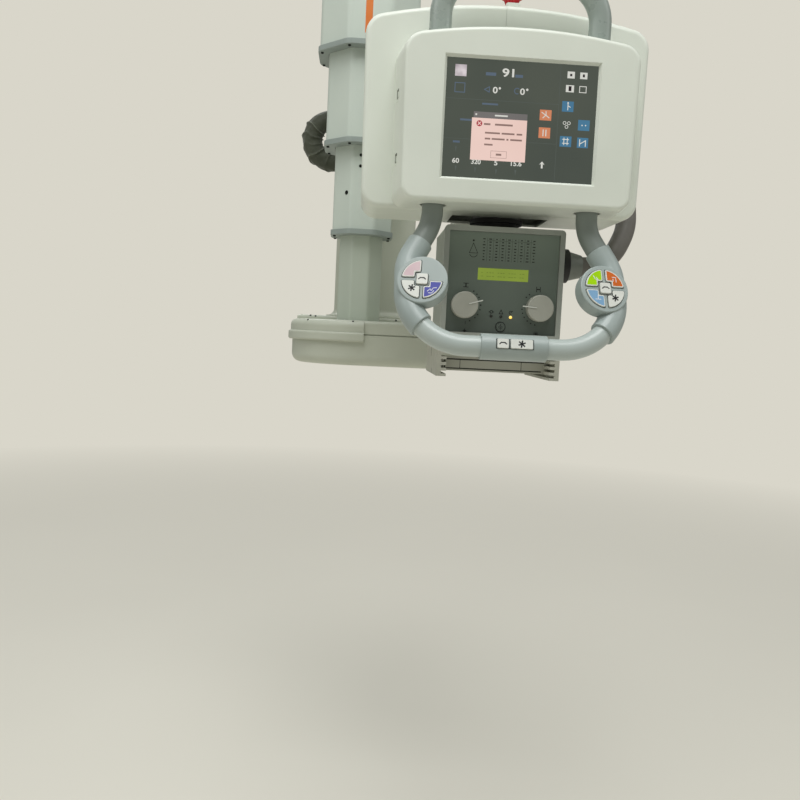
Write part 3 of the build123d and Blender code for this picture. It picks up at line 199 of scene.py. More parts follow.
def coated(name, light, dark, patch, grain, gloss, height, metallic=0.0, stretch=(1, 1, 1)):
    """Painted, moulded or metal surface: soft patches between two close colours, an uneven
    gloss, and a fine grain. patch, grain and the grain's height are in mm, gloss is the
    roughness, and a stretch below 1 draws the pattern out along that axis. Real grains are
    finer, and are drawn at 0.3 to 1.6 mm because they would not show otherwise."""
    material, tree, shader, vector = new_material(name)
    drawn_out = add_node(tree, "ShaderNodeMapping", {"Vector": vector, "Scale": stretch})
    vector = drawn_out.outputs["Vector"]
    patches = add_node(tree, "ShaderNodeTexNoise", {
        "Vector": vector, "Scale": 1000 / patch, "Detail": 4.0})
    share = add_node(tree, "ShaderNodeMapRange", {
        "Value": patches.outputs["Fac"], "From Min": NOISE_LOW, "From Max": NOISE_HIGH})
    tint = add_node(tree, "ShaderNodeMix", {
        0: share.outputs["Result"], 6: linear(light), 7: linear(dark)}, data_type="RGBA")
    tree.links.new(tint.outputs[2], shader.inputs["Base Color"])
    wear = add_node(tree, "ShaderNodeTexNoise", {
        "Vector": vector, "Scale": 5000 / patch, "Detail": 3.0})
    polish = add_node(tree, "ShaderNodeMapRange", {
        "Value": wear.outputs["Fac"], "From Min": NOISE_LOW, "From Max": NOISE_HIGH,
        "To Min": gloss - GLOSS_SPREAD, "To Max": gloss + GLOSS_SPREAD})
    tree.links.new(polish.outputs["Result"], shader.inputs["Roughness"])
    shader.inputs["Metallic"].default_value = metallic
    grains = add_node(tree, "ShaderNodeTexNoise", {"Vector": vector, "Scale": 1000 / grain})
    bump = add_node(tree, "ShaderNodeBump", {
        "Distance": height / 1000, "Height": grains.outputs["Fac"]})
    tree.links.new(bump.outputs["Normal"], shader.inputs["Normal"])
    return material


def dress(material, *names):
    """Gives CAD nodes a material."""
    for name in names:
        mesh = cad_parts[name].data
        mesh.materials.clear()
        mesh.materials.append(material)


# Powder coat on aluminium: an even, half-matt skin with a faint orange peel.
column_powder_coat = coated(
    "column_powder_coat", "#C8D1C7", "#C0CAC1", patch=160, grain=1.2, gloss=0.42, height=0.02)
# The collars' coat is darker and a little duller.
collar_powder_coat = coated(
    "collar_powder_coat", "#98A29D", "#8D9792", patch=70, grain=1.0, gloss=0.45, height=0.02)
# Satin anodised aluminium: a soft sheen whose streaks run along the extrusion. Its anodised
# skin hides most of the metal.
anodised_aluminium = coated(
    "anodised_aluminium", "#CED7C9", "#C2CBBD", patch=120, grain=1.6, gloss=0.40, height=0.01,
    metallic=0.35, stretch=DRAWN_UP)
# Moulded nylon: near black, with a dull, slightly rough face.
moulded_nylon = coated(
    "moulded_nylon", "#3A3A38", "#32322F", patch=30, grain=0.8, gloss=0.5, height=0.03)
dress(column_powder_coat, "ceiling_plate", "outer_tube", "stage_2_tube", "stage_3_tube")
dress(collar_powder_coat, "outer_collar", "stage_2_collar", "stage_3_collar")
dress(anodised_aluminium, "inner_column")
dress(moulded_nylon, "stage_2_guide", "stage_3_guide", "inner_guide")


# Stripe. A strip of orange vinyl film is stuck down the front flat of the outer tube, from its
# upper end to just above the collar.
STRIPE_LEFT, STRIPE_RIGHT = -260, -245
STRIPE_END = 13
STRIPE_THICKNESS = 0.15

Place = namedtuple("Place", "origin right up")


def head_place(corner):
    """Place on the head, in mm, of a point in the frame."""
    return (corner - head_origin) * 1000


def facing_front(depth):
    """Place that faces the operator at a depth."""
    return Place(Vector((0, depth, 0)), Vector((1, 0, 0)), Vector((0, 0, 1)))


def spot(place, u, v, lift=0.0):
    """Point at u and v in a place, lifted off it."""
    return place.origin + u * place.right + v * place.up + lift * place.right.cross(place.up)


def add_piece(name, points, faces, body, material, smooth=False):
    """Mesh piece from places on the head, riding on a body."""
    mesh = bpy.data.meshes.new(name)
    mesh.from_pydata([at(*point) for point in points], [], faces)
    mesh.polygons.foreach_set("use_smooth", [smooth] * len(mesh.polygons))
    mesh.materials.append(material)
    made = bpy.data.objects.new(name, mesh)
    bpy.context.collection.objects.link(made)
    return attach(made, body)


def flat(name, outlines, place, lift, body, material):
    """Printed or inlaid shapes, each an outline of (u, v) points, lying just off a surface."""
    points, faces = [], []
    for outline in outlines:
        area = sum(a[0] * b[1] - b[0] * a[1] for a, b in zip(outline, outline[1:] + outline[:1]))
        faces.append(range(len(points), len(points) + len(outline)))
        points += [spot(place, u, v, lift) for u, v in (outline if area > 0 else outline[::-1])]
    return add_piece(name, points, faces, body, material)


def bar(u0, v0, u1, v1):
    """Upright rectangle from two corners."""
    return [(u0, v0), (u1, v0), (u1, v1), (u0, v1)]


# Vinyl film: one clear colour, smooth and half glossy.
vinyl_film = coated(
    "vinyl_film", "#DB7A33", "#D5732D", patch=40, grain=1.0, gloss=0.4, height=0.005)
outer_low, outer_high = (head_place(corner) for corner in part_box("outer_tube"))
column_x, column_depth = (outer_low.x + outer_high.x) / 2, (outer_low.y + outer_high.y) / 2
flat(
    "stripe", [bar(STRIPE_LEFT, outer_low.z + STRIPE_END, STRIPE_RIGHT, outer_high.z)],
    facing_front(outer_low.y), STRIPE_THICKNESS, "carriage", vinyl_film)


# Column screws and cable hole. Blackened steel socket screws hold each collar from below at its
# corners, two more sit in the third tube's front, and a ringed hole there lets a cable out.
# A turned profile is a list of (radius, lift).
COLLAR_SCREW = ((3.2, 0), (3.2, 2.2), (2.7, 2.7), (1.5, 2.7), (1.5, 1.2))
COLLAR_SCREW_INSET = 9
COLLARS = (
    ("outer_collar", "carriage", range(8)), ("stage_2_collar", "stage_2", range(8)),
    ("stage_3_collar", "stage_3", (0, 3, 4, 7)))
COLUMN_SCREW = ((3.4, 0), (3.4, 0.8), (2.8, 1.3), (1.6, 1.3), (1.6, 0.6))
COLUMN_SCREWS = ((-257.5, 34.8), (-257.6, 11.2))
CABLE_RING = ((4.6, 0), (4.6, 0.7), (3.4, 0.7), (3.2, 0.1))
CABLE_HOLE = (14, -46)
COPIES_SEED = 4


def turned(profile, sides=20):
    """Points and faces of a turned shape from (radius, lift) pairs, closed at its far end."""
    points = [
        (radius * cos(2 * pi * k / sides), radius * sin(2 * pi * k / sides), lift)
        for radius, lift in profile for k in range(sides)]
    faces = []
    for first in range(0, (len(profile) - 1) * sides, sides):
        for k in range(sides):
            on = (k + 1) % sides
            faces.append((first + k, first + on, first + sides + on, first + sides + k))
    return points, faces + [range(len(points) - sides, len(points))]


def copies_on_points():
    """Node tree that sets copies of one shape on points, each drawn narrower by a random share."""
    tree = bpy.data.node_groups.new("copies_on_points", "GeometryNodeTree")
    for name, kind, in_out in (
            ("Points", "NodeSocketGeometry", "INPUT"), ("Shape", "NodeSocketObject", "INPUT"),
            ("Least Width", "NodeSocketFloat", "INPUT"), ("Seed", "NodeSocketInt", "INPUT"),
            ("Finish", "NodeSocketMaterial", "INPUT"), ("Copies", "NodeSocketGeometry", "OUTPUT")):
        tree.interface.new_socket(name, in_out=in_out, socket_type=kind)
    source = tree.nodes.new("NodeGroupInput").outputs
    shape = add_node(tree, "GeometryNodeObjectInfo", {"Object": source["Shape"]})
    width = add_node(tree, "FunctionNodeRandomValue", {
        2: source["Least Width"], 3: 1.0, "Seed": source["Seed"]}, data_type="FLOAT")
    scale = add_node(tree, "ShaderNodeCombineXYZ", {"X": width.outputs[1], "Y": 1.0, "Z": 1.0})
    placed = add_node(tree, "GeometryNodeInstanceOnPoints", {
        "Points": source["Points"], "Instance": shape.outputs["Geometry"],
        "Scale": scale.outputs["Vector"]})
    real = add_node(tree, "GeometryNodeRealizeInstances", {"Geometry": placed.outputs["Instances"]})
    finished = add_node(tree, "GeometryNodeSetMaterial", {
        "Geometry": real.outputs["Geometry"], "Material": source["Finish"]})
    add_node(tree, "NodeGroupOutput", {"Copies": finished.outputs["Geometry"]})
    return tree


copies_tree = copies_on_points()
copies_socket = {
    item.name: item.identifier for item in copies_tree.interface.items_tree
    if item.in_out == "INPUT"}


def copies(name, shape, spots, place, body, material, least_width=1.0):
    """Copies of a shape, given as points and faces in mm, at (u, v) spots of a place."""
    made = []
    for part_name, (points, faces) in (
            (name + "_shape", shape), (name, ([(u, v, 0) for u, v in spots], []))):
        mesh = bpy.data.meshes.new(part_name)
        mesh.from_pydata([Vector(point) / 1000 for point in points], [], faces)
        made.append(bpy.data.objects.new(part_name, mesh))
        bpy.context.collection.objects.link(made[-1])
    one, carrier = made
    modifier = carrier.modifiers.new("copies", "NODES")
    modifier.node_group = copies_tree
    modifier[copies_socket["Shape"]] = one
    modifier[copies_socket["Least Width"]] = least_width
    modifier[copies_socket["Seed"]] = COPIES_SEED
    modifier[copies_socket["Finish"]] = material
    bpy.context.view_layer.update()
    evaluated = carrier.evaluated_get(bpy.context.evaluated_depsgraph_get())
    baked = bpy.data.meshes.new_from_object(evaluated)
    carrier.modifiers.remove(modifier)
    axes = Matrix((place.right, place.up, place.right.cross(place.up))).transposed().to_4x4()
    baked.transform(Matrix.Translation(at(*place.origin)) @ axes)
    carrier.data = baked
    bpy.data.objects.remove(one)
    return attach(carrier, body)


# Blackened steel: dark, with a dull metal glint on the rim.
blackened_screw = coated(
    "blackened_screw", "#2B2D2A", "#1E201D", patch=3, grain=0.4, gloss=0.4, height=0.02,
    metallic=0.8)
for collar, body, corners in COLLARS:
    low, high = (head_place(corner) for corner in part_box(collar))
    reach = ((high.x - low.x) / 2 - COLLAR_SCREW_INSET) / cos(pi / 8)
    turns = [pi / 8 * (2 * k + 1) for k in corners]
    copies(
        collar + "_screws", turned(COLLAR_SCREW),
        [(reach * cos(turn), reach * sin(turn)) for turn in turns],
        Place(Vector((column_x, column_depth, low.z)), Vector((1, 0, 0)), Vector((0, -1, 0))),
        body, blackened_screw)
stage_3_low, stage_3_high = (head_place(corner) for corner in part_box("stage_3_tube"))
copies(
    "column_screws", turned(COLUMN_SCREW), COLUMN_SCREWS, facing_front(stage_3_low.y), "stage_3",
    blackened_screw)
half_flats = (stage_3_high.x - stage_3_low.x) / 2
left_flat = Place(
    Vector((column_x - half_flats * sin(pi / 4), column_depth - half_flats * cos(pi / 4), 0)),
    Vector((cos(pi / 4), -sin(pi / 4), 0)), Vector((0, 0, 1)))
# The ring's closed middle is a dark disc, painted shade for the open hole.
copies("cable_hole", turned(CABLE_RING), [CABLE_HOLE], left_flat, "stage_3", blackened_screw)


# Foot. Cast aluminium tray with moulded cover, deck and upright, all sprayed in one warm grey.
# Small blackened screws hold the cover and the deck from above.
COVER_SCREW, COVER_SCREW_SIDES = ((2.4, 0), (2.4, 0.5), (1.9, 0.9), (1.1, 0.9), (1.0, 0.4)), 12
COVER_SCREWS = (
    ("base_cover", -358, 465, -329), ("base_cover", -345, 467, -329),
    ("base_cover", -258.7, 419, -329.6), ("base_deck", -364.3, 671.3, -316.5),
    ("base_deck", -352, 670.3, -317.8), ("base_deck", -156.6, 669.6, -319.3))


def surface_place(node, x, depth, height):
    """Place on a CAD node's surface, nearest to a point."""
    _, point, out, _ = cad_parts[node].closest_point_on_mesh(at(x, depth, height))
    right = Vector((0, 0, 1)).cross(out).normalized()
    return Place(head_place(point), right, out.cross(right))


# Sprayed enamel: warm grey and half matt, with a soft orange peel.
sprayed_enamel = coated(
    "sprayed_enamel", "#C1C5B6", "#B8BCAD", patch=140, grain=1.6, gloss=0.45, height=0.03)
dress(sprayed_enamel, "base_tray", "base_cover", "base_deck", "upright")
for number, screw in enumerate(COVER_SCREWS):
    copies(
        f"cover_screw_{number + 1}", turned(COVER_SCREW, COVER_SCREW_SIDES), [(0, 0)],
        surface_place(*screw), "yoke", blackened_screw)


# Tilt post, shaft and swivel bearing. The post is a sprayed casting, bolted to the deck. The
# shaft that carries the head and the bearing ring under the column are ground steel.

# The post's enamel is greyer than the foot's.
post_enamel = coated(
    "post_enamel", "#AEB0A6", "#A5A79D", patch=80, grain=1.4, gloss=0.45, height=0.03)
# Ground steel: bright bare metal, its fine lines drawn out round the shaft.
ground_steel = coated(
    "ground_steel", "#9A9A97", "#8B8B88", patch=60, grain=1.0, gloss=0.3, height=0.01,
    metallic=1.0, stretch=(1, 0.08, 1))
dress(post_enamel, "tilt_post")
dress(ground_steel, "swivel_bearing", "tilt_shaft")


# Cable loop. The cables that swivel with the foot run in a sleeve woven of dark polyester,
# which bunches into folds round the bend and has one raised edge. Both ends are clipped.
LOOP_CLIP_RUN = 18
LOOP_STEP, LOOP_SIDES = 1.5, 96
LOOP_SAG, LOOP_SAG_RUN = Vector((-8, 0, 10)), 60
LOOP_UNDERSIZE = 0.6
# Each fold is its distance past the start of the bend, and its strength.
LOOP_FOLDS = (
    (-34, 0.5), (6, 0.5), (42, 1.0), (66, 0.35), (84, 0.9), (104, 1.0), (168, 0.3), (200, 0.5))
FOLD_HEIGHT, FOLD_HALF, FOLD_SHARPNESS, FOLD_FOOT, FOLD_RUN = 4.2, 5.0, 1.6, 0.15, 30
FOLD_WANDER, FOLD_WANDER_LENGTH, FOLD_WANDER_ROUND, FOLD_TWIST = 9, 60, 0.8, 2.5
CRINKLE, CRINKLE_LENGTH, CRINKLE_ROUND = 1.6, 14, 2.2
EDGE_START, EDGE_RUN, EDGE_TURN, EDGE_HALF, EDGE_HEIGHT = 106, 6, -0.2, 0.1, 0.7
# The sleeve is painted paler on its folds and raised edge, as a painted highlight.
EDGE_HIGHLIGHT = 0.96
SLEEVE_SHADES, SLEEVE_HIGHLIGHT = ("#4A4E3E", "#36392B"), "#A9AF9C"
SLEEVE_HIGHLIGHT_FROM, SLEEVE_HIGHLIGHT_SHARE = 0.75, 0.8
SLEEVE_PATCH, SLEEVE_THREAD, SLEEVE_THREAD_HEIGHT = 25, 0.9, 0.2


def woven_polyester():
    """Woven polyester sleeve: dark olive and dull, with a little sheen, and a painted highlight
    along its raised folds and edge. Its threads are really about 0.3 mm, drawn coarser to show."""
    material, tree, shader, vector = new_material("woven_polyester")
    shade = add_node(tree, "ShaderNodeTexNoise", {
        "Vector": vector, "Scale": 1000 / SLEEVE_PATCH, "Detail": 4.0})
    cloth = add_node(tree, "ShaderNodeMix", {
        0: shade.outputs["Fac"], 6: linear(SLEEVE_SHADES[0]), 7: linear(SLEEVE_SHADES[1])},
        data_type="RGBA")
    fold_highlights = tree.nodes.new("ShaderNodeAttribute")
    fold_highlights.attribute_name = "fold"
    share = add_node(tree, "ShaderNodeMapRange", {
        "Value": fold_highlights.outputs["Fac"], "From Min": SLEEVE_HIGHLIGHT_FROM, "To Max": SLEEVE_HIGHLIGHT_SHARE})
    highlighted = add_node(tree, "ShaderNodeMix", {
        0: share.outputs["Result"], 6: cloth.outputs[2], 7: linear(SLEEVE_HIGHLIGHT)}, data_type="RGBA")
    tree.links.new(highlighted.outputs[2], shader.inputs["Base Color"])
    shader.inputs["Roughness"].default_value = 0.72
    shader.inputs["Sheen Weight"].default_value = 0.25
    weave = add_node(tree, "ShaderNodeTexNoise", {
        "Vector": vector, "Scale": 1000 / SLEEVE_THREAD, "Detail": 1.0})
    bump = add_node(tree, "ShaderNodeBump", {
        "Distance": SLEEVE_THREAD_HEIGHT / 1000, "Height": weave.outputs["Fac"]})
    tree.links.new(bump.outputs["Normal"], shader.inputs["Normal"])
    return material


loop_low, loop_high = (head_place(corner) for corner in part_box("cable_loop"))
loop_diameter = loop_high.y - loop_low.y
loop_radius = (loop_high.z - loop_low.z - loop_diameter) / 2
loop_depth = (loop_low.y + loop_high.y) / 2
loop_height = (loop_low.z + loop_high.z) / 2
loop_bend_x = loop_low.x + loop_diameter / 2 + loop_radius
loop_run = loop_high.x - loop_bend_x
loop_length = 2 * loop_run + pi * loop_radius


def share_between(value, start, run):
    """Share from 0 to 1 of the way through a run."""
    return min(1.0, max(0.0, (value - start) / run))


def loop_station(along):
    """Middle of the sleeve and its outward direction, at a distance along it."""
    free = share_between(min(along, loop_length - along), LOOP_CLIP_RUN, LOOP_SAG_RUN)
    shift = free * free * (3 - 2 * free) * LOOP_SAG
    if along < loop_run:
        middle = Vector((loop_high.x - along, loop_depth, loop_height - loop_radius))
        return middle + shift, Vector((0, 0, -1))
    turn = min(pi, (along - loop_run) / loop_radius)
    outward = Vector((-sin(turn), 0, -cos(turn)))
    past = max(0.0, along - loop_run - pi * loop_radius)
    middle = Vector((loop_bend_x + past, loop_depth, loop_height))
    return middle + loop_radius * outward + shift, outward


def noise_at(along, turn, spread):
    """Even noise along and round the sleeve."""
    return noise.noise(Vector((along, cos(turn) * spread, sin(turn) * spread)))


def fold_at(along, turn):
    """How far a fold stands up, from 0 to 1, at a place on the sleeve."""
    drift = noise_at(along / FOLD_WANDER_LENGTH, turn, FOLD_WANDER_ROUND)
    here = along - loop_run + FOLD_WANDER * drift + FOLD_TWIST * sin(2 * turn)
    return max(
        strength * max(0.0, 1 - abs(here - fold) / FOLD_HALF) ** FOLD_SHARPNESS
        for fold, strength in LOOP_FOLDS)


def loop_mesh():
    """Points and faces of the sleeve, with how strongly each point takes the painted highlight
    of a fold or of the raised edge.
    """
    stations = round(loop_length / LOOP_STEP)
    points, fold_highlights = [], []
    for step in range(stations + 1):
        along = loop_length * step / stations
        middle, outward = loop_station(along)
        free = share_between(min(along, loop_length - along), LOOP_CLIP_RUN, FOLD_RUN)
        for k in range(LOOP_SIDES):
            turn = 2 * pi * k / LOOP_SIDES
            ridge = fold_at(along, turn)
            fine = noise_at(along / CRINKLE_LENGTH, turn, CRINKLE_ROUND)
            edge = max(0.0, 1 - abs(turn - 2 * pi * (turn > pi) - EDGE_TURN) / EDGE_HALF)
            edge *= share_between(along - loop_run, EDGE_START, EDGE_RUN)
            rise = FOLD_HEIGHT * (ridge - FOLD_FOOT) + CRINKLE * fine + EDGE_HEIGHT * edge
            radius = loop_diameter / 2 - LOOP_UNDERSIZE + free * rise
            side = cos(turn) * outward + sin(turn) * Vector((0, 1, 0))
            points.append(middle + radius * side)
            fold_highlights.append(free * max(ridge, EDGE_HIGHLIGHT * edge))
    faces = []
    for first in range(0, stations * LOOP_SIDES, LOOP_SIDES):
        for k in range(LOOP_SIDES):
            on = (k + 1) % LOOP_SIDES
            faces.append((first + k, first + on, first + LOOP_SIDES + on, first + LOOP_SIDES + k))
    faces += [range(LOOP_SIDES)[::-1], range(stations * LOOP_SIDES, (stations + 1) * LOOP_SIDES)]
    return points, faces, fold_highlights


loop_points, loop_faces, loop_fold_highlights = loop_mesh()
cable_sleeve = add_piece(
    "cable_sleeve", loop_points, loop_faces, "yoke", woven_polyester(), smooth=True)
# The fold attribute gives each point's share of the painted highlight.
cable_sleeve.data.attributes.new("fold", "FLOAT", "POINT").data.foreach_set("value", loop_fold_highlights)
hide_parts("cable_loop")


# Loop bracket. A plate of milled aluminium with two clips, left bare, is screwed to the
# upright and holds both ends of the cable loop.

# Milled aluminium: bright, with a satin face and short upright streaks.
milled_aluminium = coated(
    "milled_aluminium", "#B4B5B2", "#A6A7A4", patch=50, grain=0.8, gloss=0.38, height=0.015,
    metallic=1.0, stretch=(1, 1, 0.2))
dress(milled_aluminium, "cable_bracket")


# Covers and console. Warm white shells of moulded ABS, screwed to the head's frame from inside.
# Two snap catches show in the console's left wall, and a thin white line along the cover's
# lower right corner is a painted highlight.
CATCHES = (("upper_catch", (-199, 63, 47)), ("lower_catch", (-198.4, 63, -58)))
CATCH_SLOT, CATCH_SLOT_LIFT = (-10, -7.5, 8, 7.5), 0.4
CATCH_TONGUE, CATCH_TONGUE_HEIGHT = (1, -7.5, 8, 3), 1.0
CATCH_STEP, CATCH_STEP_HEIGHT = (-13, -11.5, -1, -8), 0.9
CATCH_TOP_SHARE = 0.8
# Points of the painted highlight along the cover's lower right corner.
CORNER_HIGHLIGHT = (
    (198.7, 115.6, -134), (203, 110, -128.8), (207.4, 105, -123.6), (213.5, 105, -117.6),
    (219.6, 105, -111.7))
CORNER_HIGHLIGHT_HALF, CORNER_HIGHLIGHT_LIFT = 0.6, 0.3


def raised(name, outline, place, height, body, material):
    """Shape that stands up from a surface and draws in towards its top."""
    middle = Vector((sum(u for u, _ in outline), sum(v for _, v in outline))) / len(outline)
    count = len(outline)
    points = [spot(place, u, v) for u, v in outline]
    for corner in outline:
        top = middle + (Vector(corner) - middle) * CATCH_TOP_SHARE
        points.append(spot(place, *top, height))
    faces = [(k, (k + 1) % count, count + (k + 1) % count, count + k) for k in range(count)]
    return add_piece(name, points, faces + [range(count, 2 * count)], body, material)


# Moulded ABS: warm white and satin, with a very fine even texture.
moulded_abs = coated(
    "moulded_abs", "#E3E8DD", "#DCE1D6", patch=180, grain=1.1, gloss=0.40, height=0.02)
# The same plastic as painted shade in the slots, and as a white painted highlight on the corner.
shaded_abs = coated("shaded_abs", "#4A4F3E", "#424737", patch=6, grain=0.6, gloss=0.6, height=0.02)
highlight_abs = coated(
    "highlight_abs", "#FFFFFF", "#F6F7F0", patch=5, grain=0.5, gloss=0.5, height=0.01)
dress(moulded_abs, "rear_cover_left", "rear_cover_right", "console_shell")
for name, catch in CATCHES:
    wall = surface_place("console_shell", *catch)
    flat(name + "_slot", [bar(*CATCH_SLOT)], wall, CATCH_SLOT_LIFT, "head", shaded_abs)
    raised(name + "_tongue", bar(*CATCH_TONGUE), wall, CATCH_TONGUE_HEIGHT, "head", moulded_abs)
    raised(name + "_step", bar(*CATCH_STEP), wall, CATCH_STEP_HEIGHT, "head", moulded_abs)
highlight_places = [surface_place("rear_cover_right", *point) for point in CORNER_HIGHLIGHT]
add_piece(
    "corner_scratch",
    [spot(place, side, side, CORNER_HIGHLIGHT_LIFT)
     for place in highlight_places for side in (-CORNER_HIGHLIGHT_HALF, CORNER_HIGHLIGHT_HALF)],
    [(2 * k, 2 * k + 1, 2 * k + 3, 2 * k + 2) for k in range(len(CORNER_HIGHLIGHT) - 1)],
    "head", highlight_abs)


# Frame, tube housing and flange. The frame and the lead-lined housing are raw castings inside
# the covers. The flange that carries the collimator is blackened steel, bolted to the port.

# Cast aluminium: dull grey metal with a sandy face.
cast_aluminium = coated(
    "cast_aluminium", "#8E908C", "#7D7F7B", patch=40, grain=1.5, gloss=0.5, height=0.06,
    metallic=0.9)
# Blackened steel plate: nearly black, and matt enough to vanish in the gap.
blackened_steel = coated(
    "blackened_steel", "#1C1D1A", "#151613", patch=30, grain=1.0, gloss=0.55, height=0.02)
dress(cast_aluminium, "head_frame", "tube_housing")
dress(blackened_steel, "collimator_flange")


# Touch screen. A flat glass over a backlit display, set behind the console's opening. The
# picture is thin lit shapes in layers just off the glass, and words are plain bars.
LAYER = 0.12
UNLIT_GLASS = "#101210"
ON_GLASS, ON_TILE, NOTICE, ON_NOTICE, ON_MARK = 1, 2, 3, 4, 5
PAGE_LINES = ((-122, 29.6, 61, 30.3), (-122, -33.2, 61, -32.6), (61, -92.5, 61.6, 92.5))
LABEL_BARS = (
    (-59.7, 68.6, -43.2, 73.6), (-12, 68, 0.4, 72.6), (-63.2, 22.6, -37.4, 25.4),
    (-97.4, -4.2, -76.5, -1.2), (-107.3, -39.6, -96.3, -36.4))
# Each number has its place, width and height.
FIGURES = (
    ("height_figures", "91", -23.6, 74.6, 19.2, 13.4),
    ("tilt_figures", "0", -43.2, 46.4, 7.8, 10.2), ("turn_figures", "0", 1.0, 46.6, 7.8, 10.2),
    ("kv_figures", "60", -101.3, -67.8, 11.2, 7.8), ("ma_figures", "320", -68.2, -68, 15.6, 7.8),
    ("time_figures", "5", -35.8, -68.2, 5.4, 7.8), ("mas_figures", "15.6", -2.4, -67.6, 17.6, 7.8))
FIGURE_BOLDNESS = 0.022
FAINT_ARROWS = ((-102, -50), (-100.8, -80.5), (-69, -81.5), (-34.8, -82.7), (-3.2, -82.2))
ARROW_HALF_WIDTH, ARROW_HALF_HEIGHT = 1.6, 4.4
BLUE_TILES = (
    (66.9, 19.5, 85.7, 36), (94.9, -8.9, 113.8, 7.9), (66.5, -36.1, 85.5, -19.3),
    (95, -36.3, 113.2, -20.2))
ORANGE_TILES = ((31.3, 3.7, 50.4, 20.4), (31.2, -24.5, 50, -7.6))
WHITE_TILES = ((72.6, 72.3, 84.5, 83), (93.3, 72.3, 105.2, 82.6), (71.3, 50.5, 84.5, 61.6))
TILE_HEARTS = ((76.8, 75.6, 80.4, 79.4), (97.6, 75.2, 101, 79.8), (75.6, 52.2, 80.4, 60))
SMALL_RINGS = ((72.6, 1.6), (79.6, 1.6), (76.1, -4.4))
NOTICE_TITLE_BARS = ((-41.6, 5.2, -20.6, 7.6), (-73.2, 5.4, -70.4, 8))
NOTICE_BARS = (
    (-58.7, -9.3, -48, -6.3), (-40.6, -9.3, -11.7, -6.3), (-56.1, -22.8, -31.6, -20),
    (-29, -22.8, -8, -20), (-4.6, -22.8, 4.6, -20), (-56, -32, -47, -29.2),
    (-44.8, -32, -23.6, -29.2), (-20.6, -32, -17.4, -29.2), (-14.4, -32, 4.6, -29.2),
    (-56.4, -41.4, -42.7, -38.6))
screen_face = facing_front(SCREEN_SET_BACK)


def lit(name, light, dark, strength, patch=90):
    """Part of a lit display behind glass: its glow wavers a little between two close colours."""
    material, tree, shader, vector = new_material(name)
    cloud = add_node(tree, "ShaderNodeTexNoise", {"Vector": vector, "Scale": 1000 / patch})
    share = add_node(tree, "ShaderNodeMapRange", {
        "Value": cloud.outputs["Fac"], "From Min": NOISE_LOW, "From Max": NOISE_HIGH})
    glow = add_node(tree, "ShaderNodeMix", {
        0: share.outputs["Result"], 6: linear(light), 7: linear(dark)}, data_type="RGBA")
    shader.inputs["Base Color"].default_value = linear(UNLIT_GLASS)
    shader.inputs["Roughness"].default_value = 0.22
    tree.links.new(glow.outputs[2], shader.inputs["Emission Color"])
    shader.inputs["Emission Strength"].default_value = strength
    return material


def bars(corners):
    """Upright rectangles from their pairs of corners."""
    return [bar(*pair) for pair in corners]


def disc(u, v, radius, sides=28):
    """Round outline."""
    turns = [2 * pi * k / sides for k in range(sides)]
    return [(u + radius * cos(turn), v + radius * sin(turn)) for turn in turns]


def arc(u, v, radius, width, start, finish, sides=20):
    """Outlines that make up a curved stroke between two angles in degrees."""
    turns = [radians(start + (finish - start) * k / sides) for k in range(sides + 1)]
    inner, outer = radius - width / 2, radius + width / 2
    return [
        [(u + inner * cos(a), v + inner * sin(a)), (u + outer * cos(a), v + outer * sin(a)),
         (u + outer * cos(b), v + outer * sin(b)), (u + inner * cos(b), v + inner * sin(b))]
        for a, b in zip(turns, turns[1:])]


def stroke(width, *points):
    """Outlines of a line of straight runs."""
    runs = []
    for (u0, v0), (u1, v1) in zip(points, points[1:]):
        along = Vector((u1 - u0, v1 - v0)).normalized() * width / 2
        runs.append([
            (u0 - along.x + along.y, v0 - along.y - along.x),
            (u1 + along.x + along.y, v1 + along.y - along.x),
            (u1 + along.x - along.y, v1 + along.y + along.x),
            (u0 - along.x - along.y, v0 - along.y + along.x)])
    return runs


def strokes(width, *lines):
    """Outlines of several lines of one width."""
    return [outline for line in lines for outline in stroke(width, *line)]


def box_line(width, u0, v0, u1, v1):
    """Outlines of a hollow rectangle."""
    return stroke(width, (u0, v0), (u1, v0), (u1, v1), (u0, v1), (u0, v0))


def display(name, outlines, layer, material):
    """Shapes of the screen's picture, in one of its layers."""
    return flat(name, outlines, screen_face, LAYER * layer, "head", material)


def figures(name, text, u, v, width, height):
    """Bold number on the screen, centred on u and v and fitted to a width and a height."""
    letters = bpy.data.curves.new(name, "FONT")
    letters.body = text
    letters.offset = FIGURE_BOLDNESS
    written = bpy.data.objects.new(name, letters)
    bpy.context.collection.objects.link(written)
    bpy.context.view_layer.update()
    evaluated = written.evaluated_get(bpy.context.evaluated_depsgraph_get())
    mesh = bpy.data.meshes.new_from_object(evaluated)
    bpy.data.objects.remove(written)
    xs, ys = [vertex.co.x for vertex in mesh.vertices], [vertex.co.y for vertex in mesh.vertices]
    x_middle, y_middle = (min(xs) + max(xs)) / 2, (min(ys) + max(ys)) / 2
    x_scale, y_scale = width / (max(xs) - min(xs)), height / (max(ys) - min(ys))
    points = [
        spot(screen_face, u + (x - x_middle) * x_scale, v + (y - y_middle) * y_scale, LAYER)
        for x, y in zip(xs, ys)]
    faces = [polygon.vertices[:] for polygon in mesh.polygons]
    return add_piece(name, points, faces, "head", white_light)


